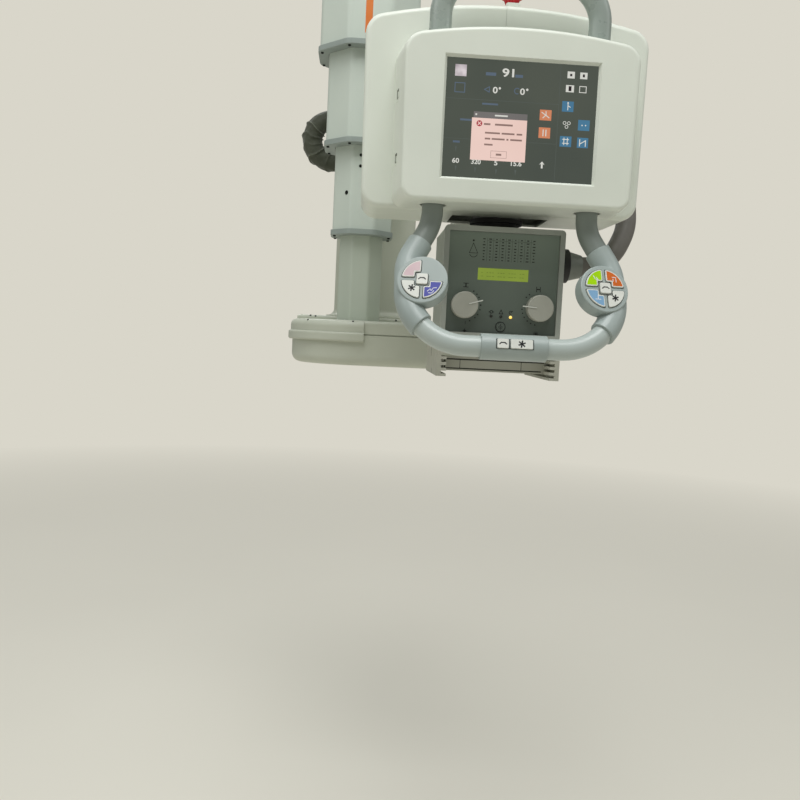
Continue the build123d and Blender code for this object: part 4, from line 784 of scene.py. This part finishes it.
# Backlit display: a dark grey-green glow under glossy glass, with clear flat colours on it.
touch_glass = lit("touch_glass", "#525A52", "#5F655A", 0.62, patch=160)
white_light = lit("white_light", "#E8E8E0", "#DCDCD4", 0.85)
bluish_light = lit("bluish_light", "#7A8CA0", "#70839A", 0.5)
line_light = lit("line_light", "#6C746E", "#636B66", 0.6)
film_light = lit("film_light", "#E6DCDF", "#A89CA2", 0.85, patch=16)
blue_light = lit("blue_light", "#4E86A8", "#4A7CA0", 0.75)
orange_light = lit("orange_light", "#DE8E66", "#D88760", 0.85)
pink_light = lit("pink_light", "#F6D6CC", "#F0CFC4", 0.9)
grey_light = lit("grey_light", "#7E7A78", "#767270", 0.8)
red_light = lit("red_light", "#B8404C", "#A83A46", 0.85)
text_light = lit("text_light", "#A98B82", "#9E8078", 0.7)
dark_light = lit("dark_light", "#3A2A30", "#332429", 0.4)
dress(touch_glass, "screen")

display("screen_lines", bars(PAGE_LINES), ON_GLASS, line_light)
display("film_square", [bar(-109.4, 65, -91, 83.2)], ON_GLASS, film_light)
display(
    "blue_outlines",
    box_line(1.4, -108.4, 40, -92.6, 54.5)
    + stroke(1.4, (-52.6, 51), (-60.6, 46.6), (-52.8, 42.6), (-52.6, 51))
    + arc(-7.6, 47, 4.4, 1.5, 40, 300), ON_GLASS, bluish_light)
display("label_bars", bars(LABEL_BARS), ON_GLASS, bluish_light)
for figure in FIGURES:
    figures(*figure)
display("degree_dots", [disc(-36, 49.6, 1.9), disc(8.6, 50, 1.9)], ON_GLASS, white_light)
display(
    "dose_mark",
    [bar(38.2, -72.6, 41, -62.6)] + stroke(1.1, (36.4, -66), (39.6, -62.6), (42.8, -66)),
    ON_GLASS, white_light)
display("faint_arrows", [
    [(u - ARROW_HALF_WIDTH, v + ARROW_HALF_HEIGHT), (u, v - ARROW_HALF_HEIGHT),
     (u + ARROW_HALF_WIDTH, v + ARROW_HALF_HEIGHT)] for u, v in FAINT_ARROWS],
    ON_GLASS, line_light)

display("blue_tiles", bars(BLUE_TILES), ON_GLASS, blue_light)
display("orange_tiles", bars(ORANGE_TILES), ON_GLASS, orange_light)
display("white_tiles", bars(WHITE_TILES), ON_GLASS, white_light)
display("tile_hearts", bars(TILE_HEARTS), ON_TILE, dark_light)
display(
    "pale_outlines",
    box_line(1.2, 93.8, 51.1, 104.5, 60.6)
    + [outline for u, v in SMALL_RINGS for outline in arc(u, v, 2.4, 0.9, 0, 360)],
    ON_GLASS, white_light)
display(
    "tile_marks",
    strokes(1.3, ((76.4, 33.2), (76.4, 22.6)), ((76.4, 29.2), (80.2, 27)))
    + [disc(76.4, 33.4, 1.3), disc(101.4, -0.6, 1.1), disc(107.2, -0.6, 1.1)]
    + strokes(
        1.2, ((71.2, -24.4), (80.8, -24.4)), ((71.2, -30.6), (80.8, -30.6)),
        ((73.2, -22.2), (73.2, -32.8)), ((78.8, -22.2), (78.8, -32.8)))
    + strokes(
        1.4, ((99.2, -33.4), (99.2, -23.4)), ((99.2, -30.4), (108.8, -24.6)),
        ((108.8, -33.4), (108.8, -24.6)), ((34.6, 16.2), (46.6, 8.2)),
        ((36.8, 7.6), (41.6, 12.4), (41.2, 17.6)))
    + strokes(1.6, ((38.4, -20.6), (38.4, -11.6)), ((43, -20.6), (43, -11.6))),
    ON_TILE, white_light)

display("notice_body", [bar(-78.3, -65, 11.4, 1.4)], NOTICE, pink_light)
display("notice_title", [bar(-75.9, 1.4, 11.4, 11.2)], NOTICE, grey_light)
display("notice_title_bar", bars(NOTICE_TITLE_BARS), ON_NOTICE, white_light)
display("notice_round", [disc(-66, -7.2, 4.8)], ON_NOTICE, red_light)
display(
    "notice_cross", strokes(1.3, ((-68, -9.2), (-64, -5.2)), ((-68, -5.2), (-64, -9.2))),
    ON_MARK, pink_light)
display("notice_bars", bars(NOTICE_BARS), ON_NOTICE, text_light)
display(
    "notice_button",
    box_line(0.5, -45, -60.4, -19.4, -49.6) + [bar(-36.6, -56.6, -27.6, -53.4)],
    ON_NOTICE, text_light)


# Handle and ring. Bent steel tubes, enamelled grey and clamped to the frame through the holes
# in the console. The ring has a painted shade near the console and a painted highlight low down.
# The ring's colour runs from a painted shade near the console to a painted highlight low down.
RING_SHADE_AND_HIGHLIGHT = ("#7F8781", "#B3BDB9")
RING_SHADE_HEIGHT, RING_HIGHLIGHT_HEIGHT = -190, -345
# A cloud is about 90 mm wide.
CLOUDS_PER_METRE, CLOUD_SHARE = 11, 0.16


def graded(name, shades, start, finish, detail):
    """Surface whose colour drifts, a little clouded, from one shade to another between two
    heights. Gives the material, its tree, its shader and the share of the second shade."""
    material, tree, shader, vector = new_material(name)
    apart = add_node(tree, "ShaderNodeSeparateXYZ", {"Vector": vector})
    share = add_node(tree, "ShaderNodeMapRange", {
        "Value": apart.outputs["Z"], "From Min": at(0, 0, start).z, "From Max": at(0, 0, finish).z})
    cloud = add_node(tree, "ShaderNodeTexNoise", {
        "Vector": vector, "Scale": CLOUDS_PER_METRE, "Detail": detail})
    mixed = add_node(
        tree, "ShaderNodeMath",
        {0: cloud.outputs["Fac"], 1: CLOUD_SHARE, 2: share.outputs["Result"]},
        operation="MULTIPLY_ADD", use_clamp=True).outputs[0]
    tint = add_node(
        tree, "ShaderNodeMix", {0: mixed, 6: linear(shades[0]), 7: linear(shades[1])},
        data_type="RGBA")
    tree.links.new(tint.outputs[2], shader.inputs["Base Color"])
    return material, tree, shader, mixed


def shaded_and_highlighted_enamel():
    """Satin grey enamel on the ring: a painted shade near the console, and a painted highlight
    and more gloss towards its low part.
    """
    material, tree, shader, share = graded(
        "shaded_and_highlighted_enamel", RING_SHADE_AND_HIGHLIGHT, RING_SHADE_HEIGHT, RING_HIGHLIGHT_HEIGHT, detail=4.0)
    polish = add_node(tree, "ShaderNodeMapRange", {"Value": share, "To Min": 0.42, "To Max": 0.26})
    tree.links.new(polish.outputs["Result"], shader.inputs["Roughness"])
    return material


# Enamel on steel tube: cool grey, smoother and glossier than the sprayed castings.
tube_enamel = coated(
    "tube_enamel", "#98A29B", "#909A94", patch=90, grain=1.2, gloss=0.30, height=0.02)
dress(tube_enamel, "upper_handle")
dress(shaded_and_highlighted_enamel(), "lower_ring")


# Grips and their keys. Rigid plastic grips with a round key housing on each, moulded in one and
# slid on the ring. White keys with a coloured or printed film on their faces press in pockets.
KEY_RISE, MIDDLE_RISE = 2.2, 3.4
KEY_FILM_RIM, KEY_FILM_LIFT = 1.7, 0.06
KEY_GAP_START, KEY_GAP_END = 0.5, 1.3
MIDDLE_KEY_HALF, MIDDLE_KEY_CORNER = 9.0, 2.5
BEZEL_START, BEZEL_END, BEZEL_LIFT = 1.2, 2.4, 0.12
POD_PLACE, POD_LEAN, POD_SPLAY = (148, -24, -263), radians(22), radians(9)
SECTOR_RADIUS, SECTOR_INSET, SECTOR_NOTCH, SECTOR_CORNER = 33.0, 3.2, 12.4, 2.4
SECTOR_STEPS = 16
LEFT, RIGHT = -1, 1
# The quarter of its housing that each key takes, as (across, up).
QUARTERS = {LEFT: ((-1, 1), (1, -1), (-1, -1)), RIGHT: ((-1, 1), (1, 1), (-1, -1), (1, -1))}
KEY_FILMS = (
    ("key_left_top", LEFT, -1, 1, "#D9C2C6", "#D3BBC0"),
    ("key_left_low", LEFT, 1, -1, "#5E62AE", "#565AA4"),
    ("key_right_green", RIGHT, -1, 1, "#A6DA00", "#9ED000"),
    ("key_right_orange", RIGHT, 1, 1, "#CF6A2A", "#C76325"),
    ("key_right_blue", RIGHT, -1, -1, "#84ACCE", "#7CA4C6"))
# The lines printed on a coloured key.
KEY_LINES = (
    ("key_left_low", LEFT, (
        ((10, -21), (14, -17), (16, -20), (19, -15), (24, -14.6)),
        ((12, -24), (17, -24), (20, -20)))),
    ("key_right_green", RIGHT, (((-19, 21), (-16, 15), (-11, 14)), ((-14, 18), (-11, 14)))),
    ("key_right_orange", RIGHT, (((14, 20), (20, 20), (20, 12)), ((15, 13), (15, 17)))),
    ("key_right_blue", RIGHT, (((-19, -20), (-10, -20)), ((-14.4, -13), (-14.4, -20)))))
KEY_LINE_WIDTH = 1.1
STAR_PLACE, STAR_WIDTH = (15.6, -16.4, 4.8), 2.4
MIDDLE_BOW, BOW_WIDTH = (0, 0.6, 5.4), 1.9


def pod_place(hand):
    """Place in the face of the left or right key housing."""
    x, depth, height = POD_PLACE
    right = Vector((cos(POD_SPLAY), hand * sin(POD_SPLAY), 0))
    out = Vector((
        hand * sin(POD_SPLAY) * cos(POD_LEAN), -cos(POD_SPLAY) * cos(POD_LEAN), sin(POD_LEAN)))
    return Place(Vector((hand * x, depth, height)), right, out.cross(right))


def rounded(corners, radius, steps=5):
    """Outline with its corners rounded by arcs through quadratic curves."""
    made = []
    befores, afters = corners[-1:] + corners[:-1], corners[1:] + corners[:1]
    for before, corner, after in zip(befores, corners, afters):
        here = Vector(corner)
        back, on = Vector(before) - here, Vector(after) - here
        start = here + back.normalized() * min(radius, back.length / 2)
        finish = here + on.normalized() * min(radius, on.length / 2)
        for k in range(steps + 1):
            t = k / steps
            made.append(tuple((1 - t) ** 2 * start + 2 * t * (1 - t) * here + t * t * finish))
    return made


def sector(across, up, inset):
    """Face of a quarter-round key, set in from the key's edge."""
    low, notch, radius = SECTOR_INSET + inset, SECTOR_NOTCH + inset, SECTOR_RADIUS - inset
    start = atan2(low, (radius ** 2 - low ** 2) ** 0.5)
    turns = [start + (pi / 2 - 2 * start) * k / SECTOR_STEPS for k in range(SECTOR_STEPS + 1)]
    rim = [(radius * cos(turn), radius * sin(turn)) for turn in turns]
    corners = [(notch, low), *rim, (low, notch), (notch, notch)]
    corner_radius = max(1.0, SECTOR_CORNER - inset)
    return rounded([(across * u, up * v) for u, v in corners], corner_radius, steps=3)


def middle_key(grow):
    """Outline of a middle key, grown on all sides."""
    half = MIDDLE_KEY_HALF + grow
    return rounded(bar(-half, -half, half, half), MIDDLE_KEY_CORNER + grow)


def band(outer, inner):
    """Outlines that fill the strip between two outlines of as many points."""
    following = [*range(1, len(outer)), 0]
    return [[outer[k], outer[on], inner[on], inner[k]] for k, on in enumerate(following)]


def star(u, v, size, width=STAR_WIDTH):
    """Six-pointed star of three strokes."""
    outlines = []
    for turn in (radians(80), radians(20), radians(140)):
        reach_u, reach_v = size * cos(turn), size * sin(turn)
        outlines += stroke(width, (u - reach_u, v - reach_v), (u + reach_u, v + reach_v))
    return outlines


def bow(u, v, size):
    """Low double bow, the mark on the middle keys."""
    return stroke(
        BOW_WIDTH, (u - size, v - 0.24 * size), (u - 0.5 * size, v + 0.16 * size),
        (u + 0.5 * size, v + 0.16 * size), (u + size, v - 0.24 * size))


# Moulded nylon grips: cool pale grey and satin, smoother than the covers.
grip_nylon = coated(
    "grip_nylon", "#A4AFAC", "#9CA7A4", patch=70, grain=0.9, gloss=0.34, height=0.02)
# Key plastic: clean white ABS, satin, which shows as a pale rim round each film.
key_abs = coated("key_abs", "#DFE1DA", "#D8DAD3", patch=20, grain=0.7, gloss=0.4, height=0.01)
# Screen-printed inks, dense and matt, and a painted shade for the gap round a key.
key_ink = coated("key_ink", "#1B1C1C", "#242525", patch=6, grain=0.5, gloss=0.5, height=0.005)
pale_ink = coated("pale_ink", "#E6E8EC", "#DDE0E6", patch=6, grain=0.5, gloss=0.5, height=0.005)
key_gap_shade = coated("key_gap_shade", "#454C49", "#3D4441", patch=6, grain=0.5, gloss=0.6, height=0.005)
dress(grip_nylon, "left_grip", "right_grip", "bar_sleeve")
dress(key_abs, *(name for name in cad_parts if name.startswith("key_")))

# The dark bands round the housings' keys are painted shade for the gaps.
for name, hand in (("left_key_gaps", LEFT), ("right_key_gaps", RIGHT)):
    rings = [
        outline for quarter in QUARTERS[hand]
        for outline in band(sector(*quarter, -KEY_GAP_END), sector(*quarter, -KEY_GAP_START))]
    rings += band(middle_key(KEY_GAP_END), middle_key(KEY_GAP_START))
    flat(name, rings, pod_place(hand), KEY_FILM_LIFT, "head", key_gap_shade)
flat(
    "right_middle_bezel", band(middle_key(BEZEL_END), middle_key(BEZEL_START)), pod_place(RIGHT),
    BEZEL_LIFT, "head", milled_aluminium)
for name, hand, across, up, light, dark in KEY_FILMS:
    # Printed polyester film: a strong even colour that hardly shines.
    film = coated(name + "_film", light, dark, patch=14, grain=0.6, gloss=0.5, height=0.01)
    film.node_tree.nodes["Principled BSDF"].inputs["Specular IOR Level"].default_value = 0.15
    flat(
        name + "_face", [sector(across, up, KEY_FILM_RIM)], pod_place(hand),
        KEY_RISE + KEY_FILM_LIFT, name, film)
mark_rise = KEY_RISE + 2 * KEY_FILM_LIFT
for name, hand in (("key_left_star", LEFT), ("key_right_star", RIGHT)):
    u, v, size = STAR_PLACE
    flat(name + "_mark", star(hand * u, v, size), pod_place(hand), mark_rise, name, key_ink)
for name, hand, lines in KEY_LINES:
    flat(
        name + "_mark", strokes(KEY_LINE_WIDTH, *lines), pod_place(hand), mark_rise, name, pale_ink)
for name, hand in (("key_left_middle", LEFT), ("key_right_middle", RIGHT)):
    flat(
        name + "_mark", bow(*MIDDLE_BOW), pod_place(hand), MIDDLE_RISE + KEY_FILM_LIFT, name,
        key_ink)


# Bar keys. Two white keys press in the sleeve at the middle of the ring. A narrow dark band,
# painted shade for the gap, runs round each and follows the sleeve's round face.
BAR_PLACE, BAR_LEAN = (0, -46, -365), radians(18)
BAR_KEY_RISE, BAR_KEY_HALF_HEIGHT = 22.0, 8.0
# Each key's middle and width.
BAR_KEYS = (("key_bar_small", -19.5, 18), ("key_bar_wide", 10.2, 35))
BAR_GAP_START, BAR_GAP_WIDTH, BAR_GAP_LIFT = 0.5, 1.5, 0.12
BAR_BOW, BAR_STAR = (-19.5, 0.4, 5.4), (10.2, 0, 4.9)


def finely(outline, step=1.5):
    """Outline with points added along its long sides."""
    made = []
    for here, on in zip(outline, outline[1:] + outline[:1]):
        start, run = Vector(here), Vector(on) - Vector(here)
        count = max(1, round(run.length / step))
        made += [tuple(start + run * k / count) for k in range(count)]
    return made


def draped(outlines, place, reach, node, lift):
    """Outlines as points and faces that lie on a CAD node's surface, found from a reach off
    their place."""
    points, faces = [], []
    for outline in outlines:
        faces.append(range(len(points), len(points) + len(outline)))
        for corner in outline:
            near = surface_place(node, *spot(place, *corner, reach))
            points.append(spot(near, 0, 0, lift))
    return points, faces


bar_place = Place(
    Vector(BAR_PLACE), Vector((1, 0, 0)), Vector((0, sin(BAR_LEAN), cos(BAR_LEAN))))
for name, middle, width in BAR_KEYS:
    half, tall = width / 2 + BAR_GAP_START, BAR_KEY_HALF_HEIGHT
    wider, taller = (half + BAR_GAP_WIDTH) / half, (tall + BAR_GAP_WIDTH) / tall
    inner = finely(bar(middle - half, -tall, middle + half, tall))
    outer = [(middle + (u - middle) * wider, v * taller) for u, v in inner]
    ring = draped(band(outer, inner), bar_place, BAR_KEY_RISE, "bar_sleeve", BAR_GAP_LIFT)
    add_piece(name + "_gap", *ring, "head", key_gap_shade)
for name, mark in (("key_bar_small", bow(*BAR_BOW)), ("key_bar_wide", star(*BAR_STAR))):
    flat(name + "_mark", mark, bar_place, BAR_KEY_RISE + KEY_FILM_LIFT, name, key_ink)


# Collimator box. A folded steel housing with a frame round its front, both enamelled grey and
# screwed together, hangs on the flange.

# Enamel on sheet steel: grey and half matt, with a soft orange peel.
sheet_enamel = coated(
    "sheet_enamel", "#A4A8A0", "#9B9F97", patch=90, grain=1.2, gloss=0.42, height=0.02)
dress(sheet_enamel, "collimator_housing", "collimator_frame")


# Control panel. A polycarbonate film, printed dark grey-green with a table of distances and a
# beam cone, covers the plate that the controls pass through.
PRINT_LIFT = 0.08
# The film grows paler towards its top, as a painted reflection.
FILM_TONE_AND_REFLECTION = ("#4C544E", "#7D897D")
FILM_REFLECTION_LOW, FILM_REFLECTION_HIGH = -350, -170
TABLE_START, TABLE_PITCH, TABLE_CELL = (-36, -181), (10.9, 5.1), (5.2, 1.8)
TABLE_COLUMNS, TABLE_ROWS, TABLE_LEAST_WIDTH = 9, 8, 0.35
TABLE_LOW, TABLE_HIGH, TABLE_LINE_HALF = -219, -178.6, 0.2
TABLE_HEAD_LINE = (-30.6, -183.8, 50, -183.4)
CONE, CONE_LINE = ((-54.4, -189), (-61, -206), (-46.4, -206), (-54.4, -189)), 0.9


def polycarbonate_with_painted_reflection():
    """Printed polycarbonate film: dark grey-green and half matt, painted paler towards its top
    as a painted reflection.
    """
    material, _, shader, _ = graded(
        "polycarbonate_with_painted_reflection", FILM_TONE_AND_REFLECTION, FILM_REFLECTION_LOW, FILM_REFLECTION_HIGH, detail=3.0)
    shader.inputs["Roughness"].default_value = 0.42
    return material


def printed(name, outlines):
    """Marks in the panel's dark ink."""
    return flat(name, outlines, panel_face, PRINT_LIFT, "head", panel_ink)


def printed_shape(outline):
    """Printed mark as the points and faces that copies() takes."""
    return [(u, v, PRINT_LIFT) for u, v in outline], [range(len(outline))]


panel_film = polycarbonate_with_painted_reflection()
# Screen-printed ink: nearly black and matt.
panel_ink = coated("panel_ink", "#12150F", "#1A1D17", patch=8, grain=0.5, gloss=0.5, height=0.005)
dress(panel_film, "collimator_panel")
panel_face = facing_front(head_place(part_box("collimator_panel")[0]).y)
cell_u, cell_v = TABLE_CELL[0] / 2, TABLE_CELL[1] / 2
copies(
    "panel_table", printed_shape(bar(-cell_u, -cell_v, cell_u, cell_v)),
    [(TABLE_START[0] + TABLE_PITCH[0] * column, TABLE_START[1] - TABLE_PITCH[1] * row)
     for column in range(TABLE_COLUMNS) for row in range(TABLE_ROWS)],
    panel_face, "head", panel_ink, least_width=TABLE_LEAST_WIDTH)
column_lines = [
    TABLE_START[0] + TABLE_PITCH[0] * (column + 0.5) for column in range(TABLE_COLUMNS - 1)]
printed(
    "panel_table_lines",
    [bar(u - TABLE_LINE_HALF, TABLE_LOW, u + TABLE_LINE_HALF, TABLE_HIGH) for u in column_lines]
    + [bar(*TABLE_HEAD_LINE)])
printed(
    "panel_cone",
    stroke(CONE_LINE, *CONE) + [disc(-54.4, -184.6, 1.7)]
    + arc(-53.6, -206, 7, CONE_LINE, 200, 340))


# Knobs. Two turned-looking knobs of pale moulded plastic, pushed on the shutters' spindles. A
# white line runs along each pointer, and a scale of dots and symbols is printed round them.
KNOBS = (("knob_left", -65.5, -296, 16), ("knob_right", 65.5, -296, 176))
SCALES = ((57, 42, 29, 2, -14, -32, -46, -67), (127, 141, 185, 199, 214, 230, 245, 260))
SCALE_RADIUS, SCALE_DOT, SCALE_DOT_SIDES = 29.2, 1.25, 12
POINTER_START, POINTER_REACH, POINTER_LINE, POINTER_LIFT = 7.6, 30.6, 1.5, 0.06

# Knob plastic: pale warm grey ABS, moulded and satin.
knob_abs = coated("knob_abs", "#B1B1A6", "#A7A79C", patch=30, grain=0.9, gloss=0.38, height=0.02)
dress(knob_abs, "knob_left", "knob_right")
copies(
    "knob_scales", printed_shape(disc(0, 0, SCALE_DOT, SCALE_DOT_SIDES)),
    [(x + SCALE_RADIUS * cos(radians(turn)), z + SCALE_RADIUS * sin(radians(turn)))
     for (_, x, z, _), turns in zip(KNOBS, SCALES) for turn in turns],
    panel_face, "head", panel_ink)
for name, x, z, turn in KNOBS:
    middle, along = Vector((x, z)), Vector((cos(radians(turn)), sin(radians(turn))))
    flat(
        name + "_line",
        stroke(POINTER_LINE, middle + POINTER_START * along, middle + POINTER_REACH * along),
        facing_front(head_place(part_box(name)[0]).y), POINTER_LIFT, name, key_abs)
printed(
    "knob_symbols",
    strokes(1.2, ((-67.8, -258.4), (-59.8, -258.4)), ((-67.8, -264.8), (-59.8, -264.8)))
    + stroke(2.2, (-63.8, -260), (-63.8, -263.4))
    + strokes(1.2, ((60, -259), (60, -267.2)), ((66.4, -259), (66.4, -267.2)))
    + stroke(2.2, (61.6, -263.1), (64.8, -263.1))
    + stroke(0.9, (-61.6, -324), (-61.6, -329))
    + [disc(-62.1, -340.6, 2.3), disc(63.1, -340.4, 2.3)]
    + strokes(0.8, ((-66, -340.6), (-58.2, -340.6)), ((-62.1, -344.6), (-62.1, -336.6)))
    + arc(63.1, -340.4, 3.6, 0.8, 0, 360))


# Lamps and light button. Three small domed lenses, the right one lit amber, stand under their
# symbols. The button for the light field lies under the panel's film, in a printed ring.
LENS_DOME = ((2.6, 0), (2.6, 0.8), (2.0, 1.5), (1.0, 1.9), (0.3, 2.0))
LENSES = ((-17, -313), (0, -313.3), (17, -313.6))
LAMP_LINE, BUTTON_LINE = 1.2, 0.9
BUTTON_RING = (0, -331, 8.6, 1.2, 0, 360, 36)
BUTTON_RISE = 2.46

# Moulded acrylic lenses: dark and glossy unlit, a warm glow when lit.
dark_lens = coated("dark_lens", "#2A2B24", "#22231D", patch=2, grain=0.3, gloss=0.25, height=0.005)
amber_lens = lit("amber_lens", "#FFC84A", "#FFE08A", 1.4, patch=3)
dress(panel_film, "lamp_button")
printed(
    "lamp_symbols",
    arc(-17, -305.6, 2.4, LAMP_LINE, 0, 360)
    + strokes(
        LAMP_LINE, ((-21, -305.6), (-19.6, -305.6)), ((-14.4, -305.6), (-13, -305.6)),
        ((0, -301.4), (-3.2, -308.4), (3.2, -308.4), (0, -301.4)))
    + arc(17, -305.6, 2.8, LAMP_LINE, 30, 300) + stroke(LAMP_LINE, (17, -305.6), (20, -302.8)))
printed("button_ring", arc(*BUTTON_RING))
flat(
    "button_symbol",
    arc(0, -330.4, 3.4, BUTTON_LINE, 200, 340) + arc(0, -332.4, 3.4, BUTTON_LINE, 20, 160)
    + [disc(0, -331.4, 1.1)]
    + strokes(BUTTON_LINE, ((0, -326), (0, -328.4)), ((0, -334.2), (0, -336.4))),
    panel_face, BUTTON_RISE, "lamp_button", key_ink)
copies("lamps_dark", turned(LENS_DOME), LENSES[:2], panel_face, "head", dark_lens)
copies("lamp_lit", turned(LENS_DOME), LENSES[2:], panel_face, "head", amber_lens)


# Collimator display. A liquid-crystal module, lit yellow-green from behind, sits in a pocket of
# the panel. Its two lines of text are plain dashes.
DASH_START, DASH_PITCH, DASH_COUNT, DASH_HALF_HEIGHT = -38.6, 4.8, 16, 0.4
# Each line's height, and the width of its even and odd dashes.
DASH_LINES = ((-238.568, 2.52, 3.52), (-244.8, 3.7, 2.7))
DASH_GAP_EVERY, DASH_GAP_AT = 4, 1

# Liquid-crystal display: an even yellow-green glow, with faint darker segments.
lit_crystal = lit("lit_crystal", "#93A83E", "#8A9F3A", 0.75, patch=40)
crystal_segments = lit("crystal_segments", "#6F8430", "#677C2C", 0.6, patch=10)
dress(lit_crystal, "collimator_display")
dashes = []
for height, *widths in DASH_LINES:
    for k in range(DASH_COUNT):
        if k % DASH_GAP_EVERY != DASH_GAP_AT:
            u = DASH_START + DASH_PITCH * k
            dashes.append(
                bar(u, height - DASH_HALF_HEIGHT, u + widths[k % 2], height + DASH_HALF_HEIGHT))
flat("display_text", dashes, panel_face, PRINT_LIFT, "head", crystal_segments)


# Beam window. A sheet of clear cast acrylic, cut to size and pressed into its seat in the
# bottom of the box, lets the light field through.
SHEET_TINTS = ("#E4E8E4", "#D8DCD8")
# A tone is about 30 mm wide, a scuff 4 mm.
TONES_PER_METRE, SCUFF = 33, 4


def clear_acrylic():
    """Clear cast acrylic: a faint grey tint, and fine scuffs that dull it here and there."""
    material, tree, shader, vector = new_material("clear_acrylic")
    tone = add_node(tree, "ShaderNodeTexNoise", {"Vector": vector, "Scale": TONES_PER_METRE})
    tint = add_node(tree, "ShaderNodeMix", {
        0: tone.outputs["Fac"], 6: linear(SHEET_TINTS[0]), 7: linear(SHEET_TINTS[1])},
        data_type="RGBA")
    tree.links.new(tint.outputs[2], shader.inputs["Base Color"])
    scuffs = add_node(tree, "ShaderNodeTexNoise", {
        "Vector": vector, "Scale": 1000 / SCUFF, "Detail": 4.0})
    dull = add_node(tree, "ShaderNodeMapRange", {
        "Value": scuffs.outputs["Fac"], "From Min": 0.4, "From Max": 0.8,
        "To Min": 0.05, "To Max": 0.2})
    tree.links.new(dull.outputs["Result"], shader.inputs["Roughness"])
    shader.inputs["Transmission Weight"].default_value = 0.9
    shader.inputs["IOR"].default_value = 1.49
    return material


dress(clear_acrylic(), "beam_window")


# Accessory rails. Grooved rails and a crossbar, enamelled like the box but paler, are screwed
# under it for filters. Dark lines mark the crossbar's joints and the rail's slots.
CROSSBAR_DEPTH, RAIL_SIDE, JOINT_LIFT = 128, 108, 0.1
CROSSBAR_JOINTS = (
    (-91, -392.8, 91, -390.4), (-89, -409, 86, -406.8), (-90.4, -406.8, -87.6, -392.8),
    (-62, -406.8, -61, -392.8), (49, -406.8, 50, -392.8))
RAIL_SLOTS = ((-197.5, -390, -192.5, -372), (-176, -421, -172, -411))

# Enamel on the extruded rails: paler and a little smoother than the box.
rail_enamel = coated(
    "rail_enamel", "#B9B9AC", "#AFAFA2", patch=60, grain=1.0, gloss=0.42, height=0.02)
# The dark inside of a joint or slot.
joint_shade = coated(
    "joint_shade", "#26281F", "#1F2119", patch=6, grain=0.5, gloss=0.6, height=0.01)
dress(rail_enamel, "accessory_rails")
flat(
    "crossbar_lines", bars(CROSSBAR_JOINTS), facing_front(CROSSBAR_DEPTH), JOINT_LIFT, "head",
    joint_shade)
flat(
    "rail_slots", bars(RAIL_SLOTS),
    Place(Vector((-RAIL_SIDE, 0, 0)), Vector((0, -1, 0)), Vector((0, 0, 1))), JOINT_LIFT, "head",
    joint_shade)


# Conduit. The collimator's cables leave through a black nylon nut and a grey cone, in a rubber
# hose that goes up round the cover's corner into its entry.

# Moulded nylon, dull and black on the nut, grey on the neck and the cone.
nut_nylon = coated("nut_nylon", "#1D1D1C", "#161615", patch=12, grain=0.6, gloss=0.5, height=0.03)
gland_nylon = coated(
    "gland_nylon", "#757A73", "#6C716A", patch=20, grain=0.8, gloss=0.42, height=0.02)
# Extruded rubber: warm grey, matt, with a faint bloom in patches.
hose_rubber = coated(
    "hose_rubber", "#716E68", "#64615B", patch=40, grain=0.7, gloss=0.55, height=0.03)
dress(nut_nylon, "gland_nut")
dress(gland_nylon, "gland_neck", "gland_cone")
dress(hose_rubber, "hose")


# Stop button. A mushroom head and its collar, both moulded in red ABS, held on the covers'
# ridge by a nut inside.

# Red ABS, polished in its mould: one strong colour with a clear gloss.
polished_red_abs = coated(
    "polished_red_abs", "#C4141E", "#B21019", patch=12, grain=0.6, gloss=0.25, height=0.005)
dress(polished_red_abs, "stop_button", "stop_collar")
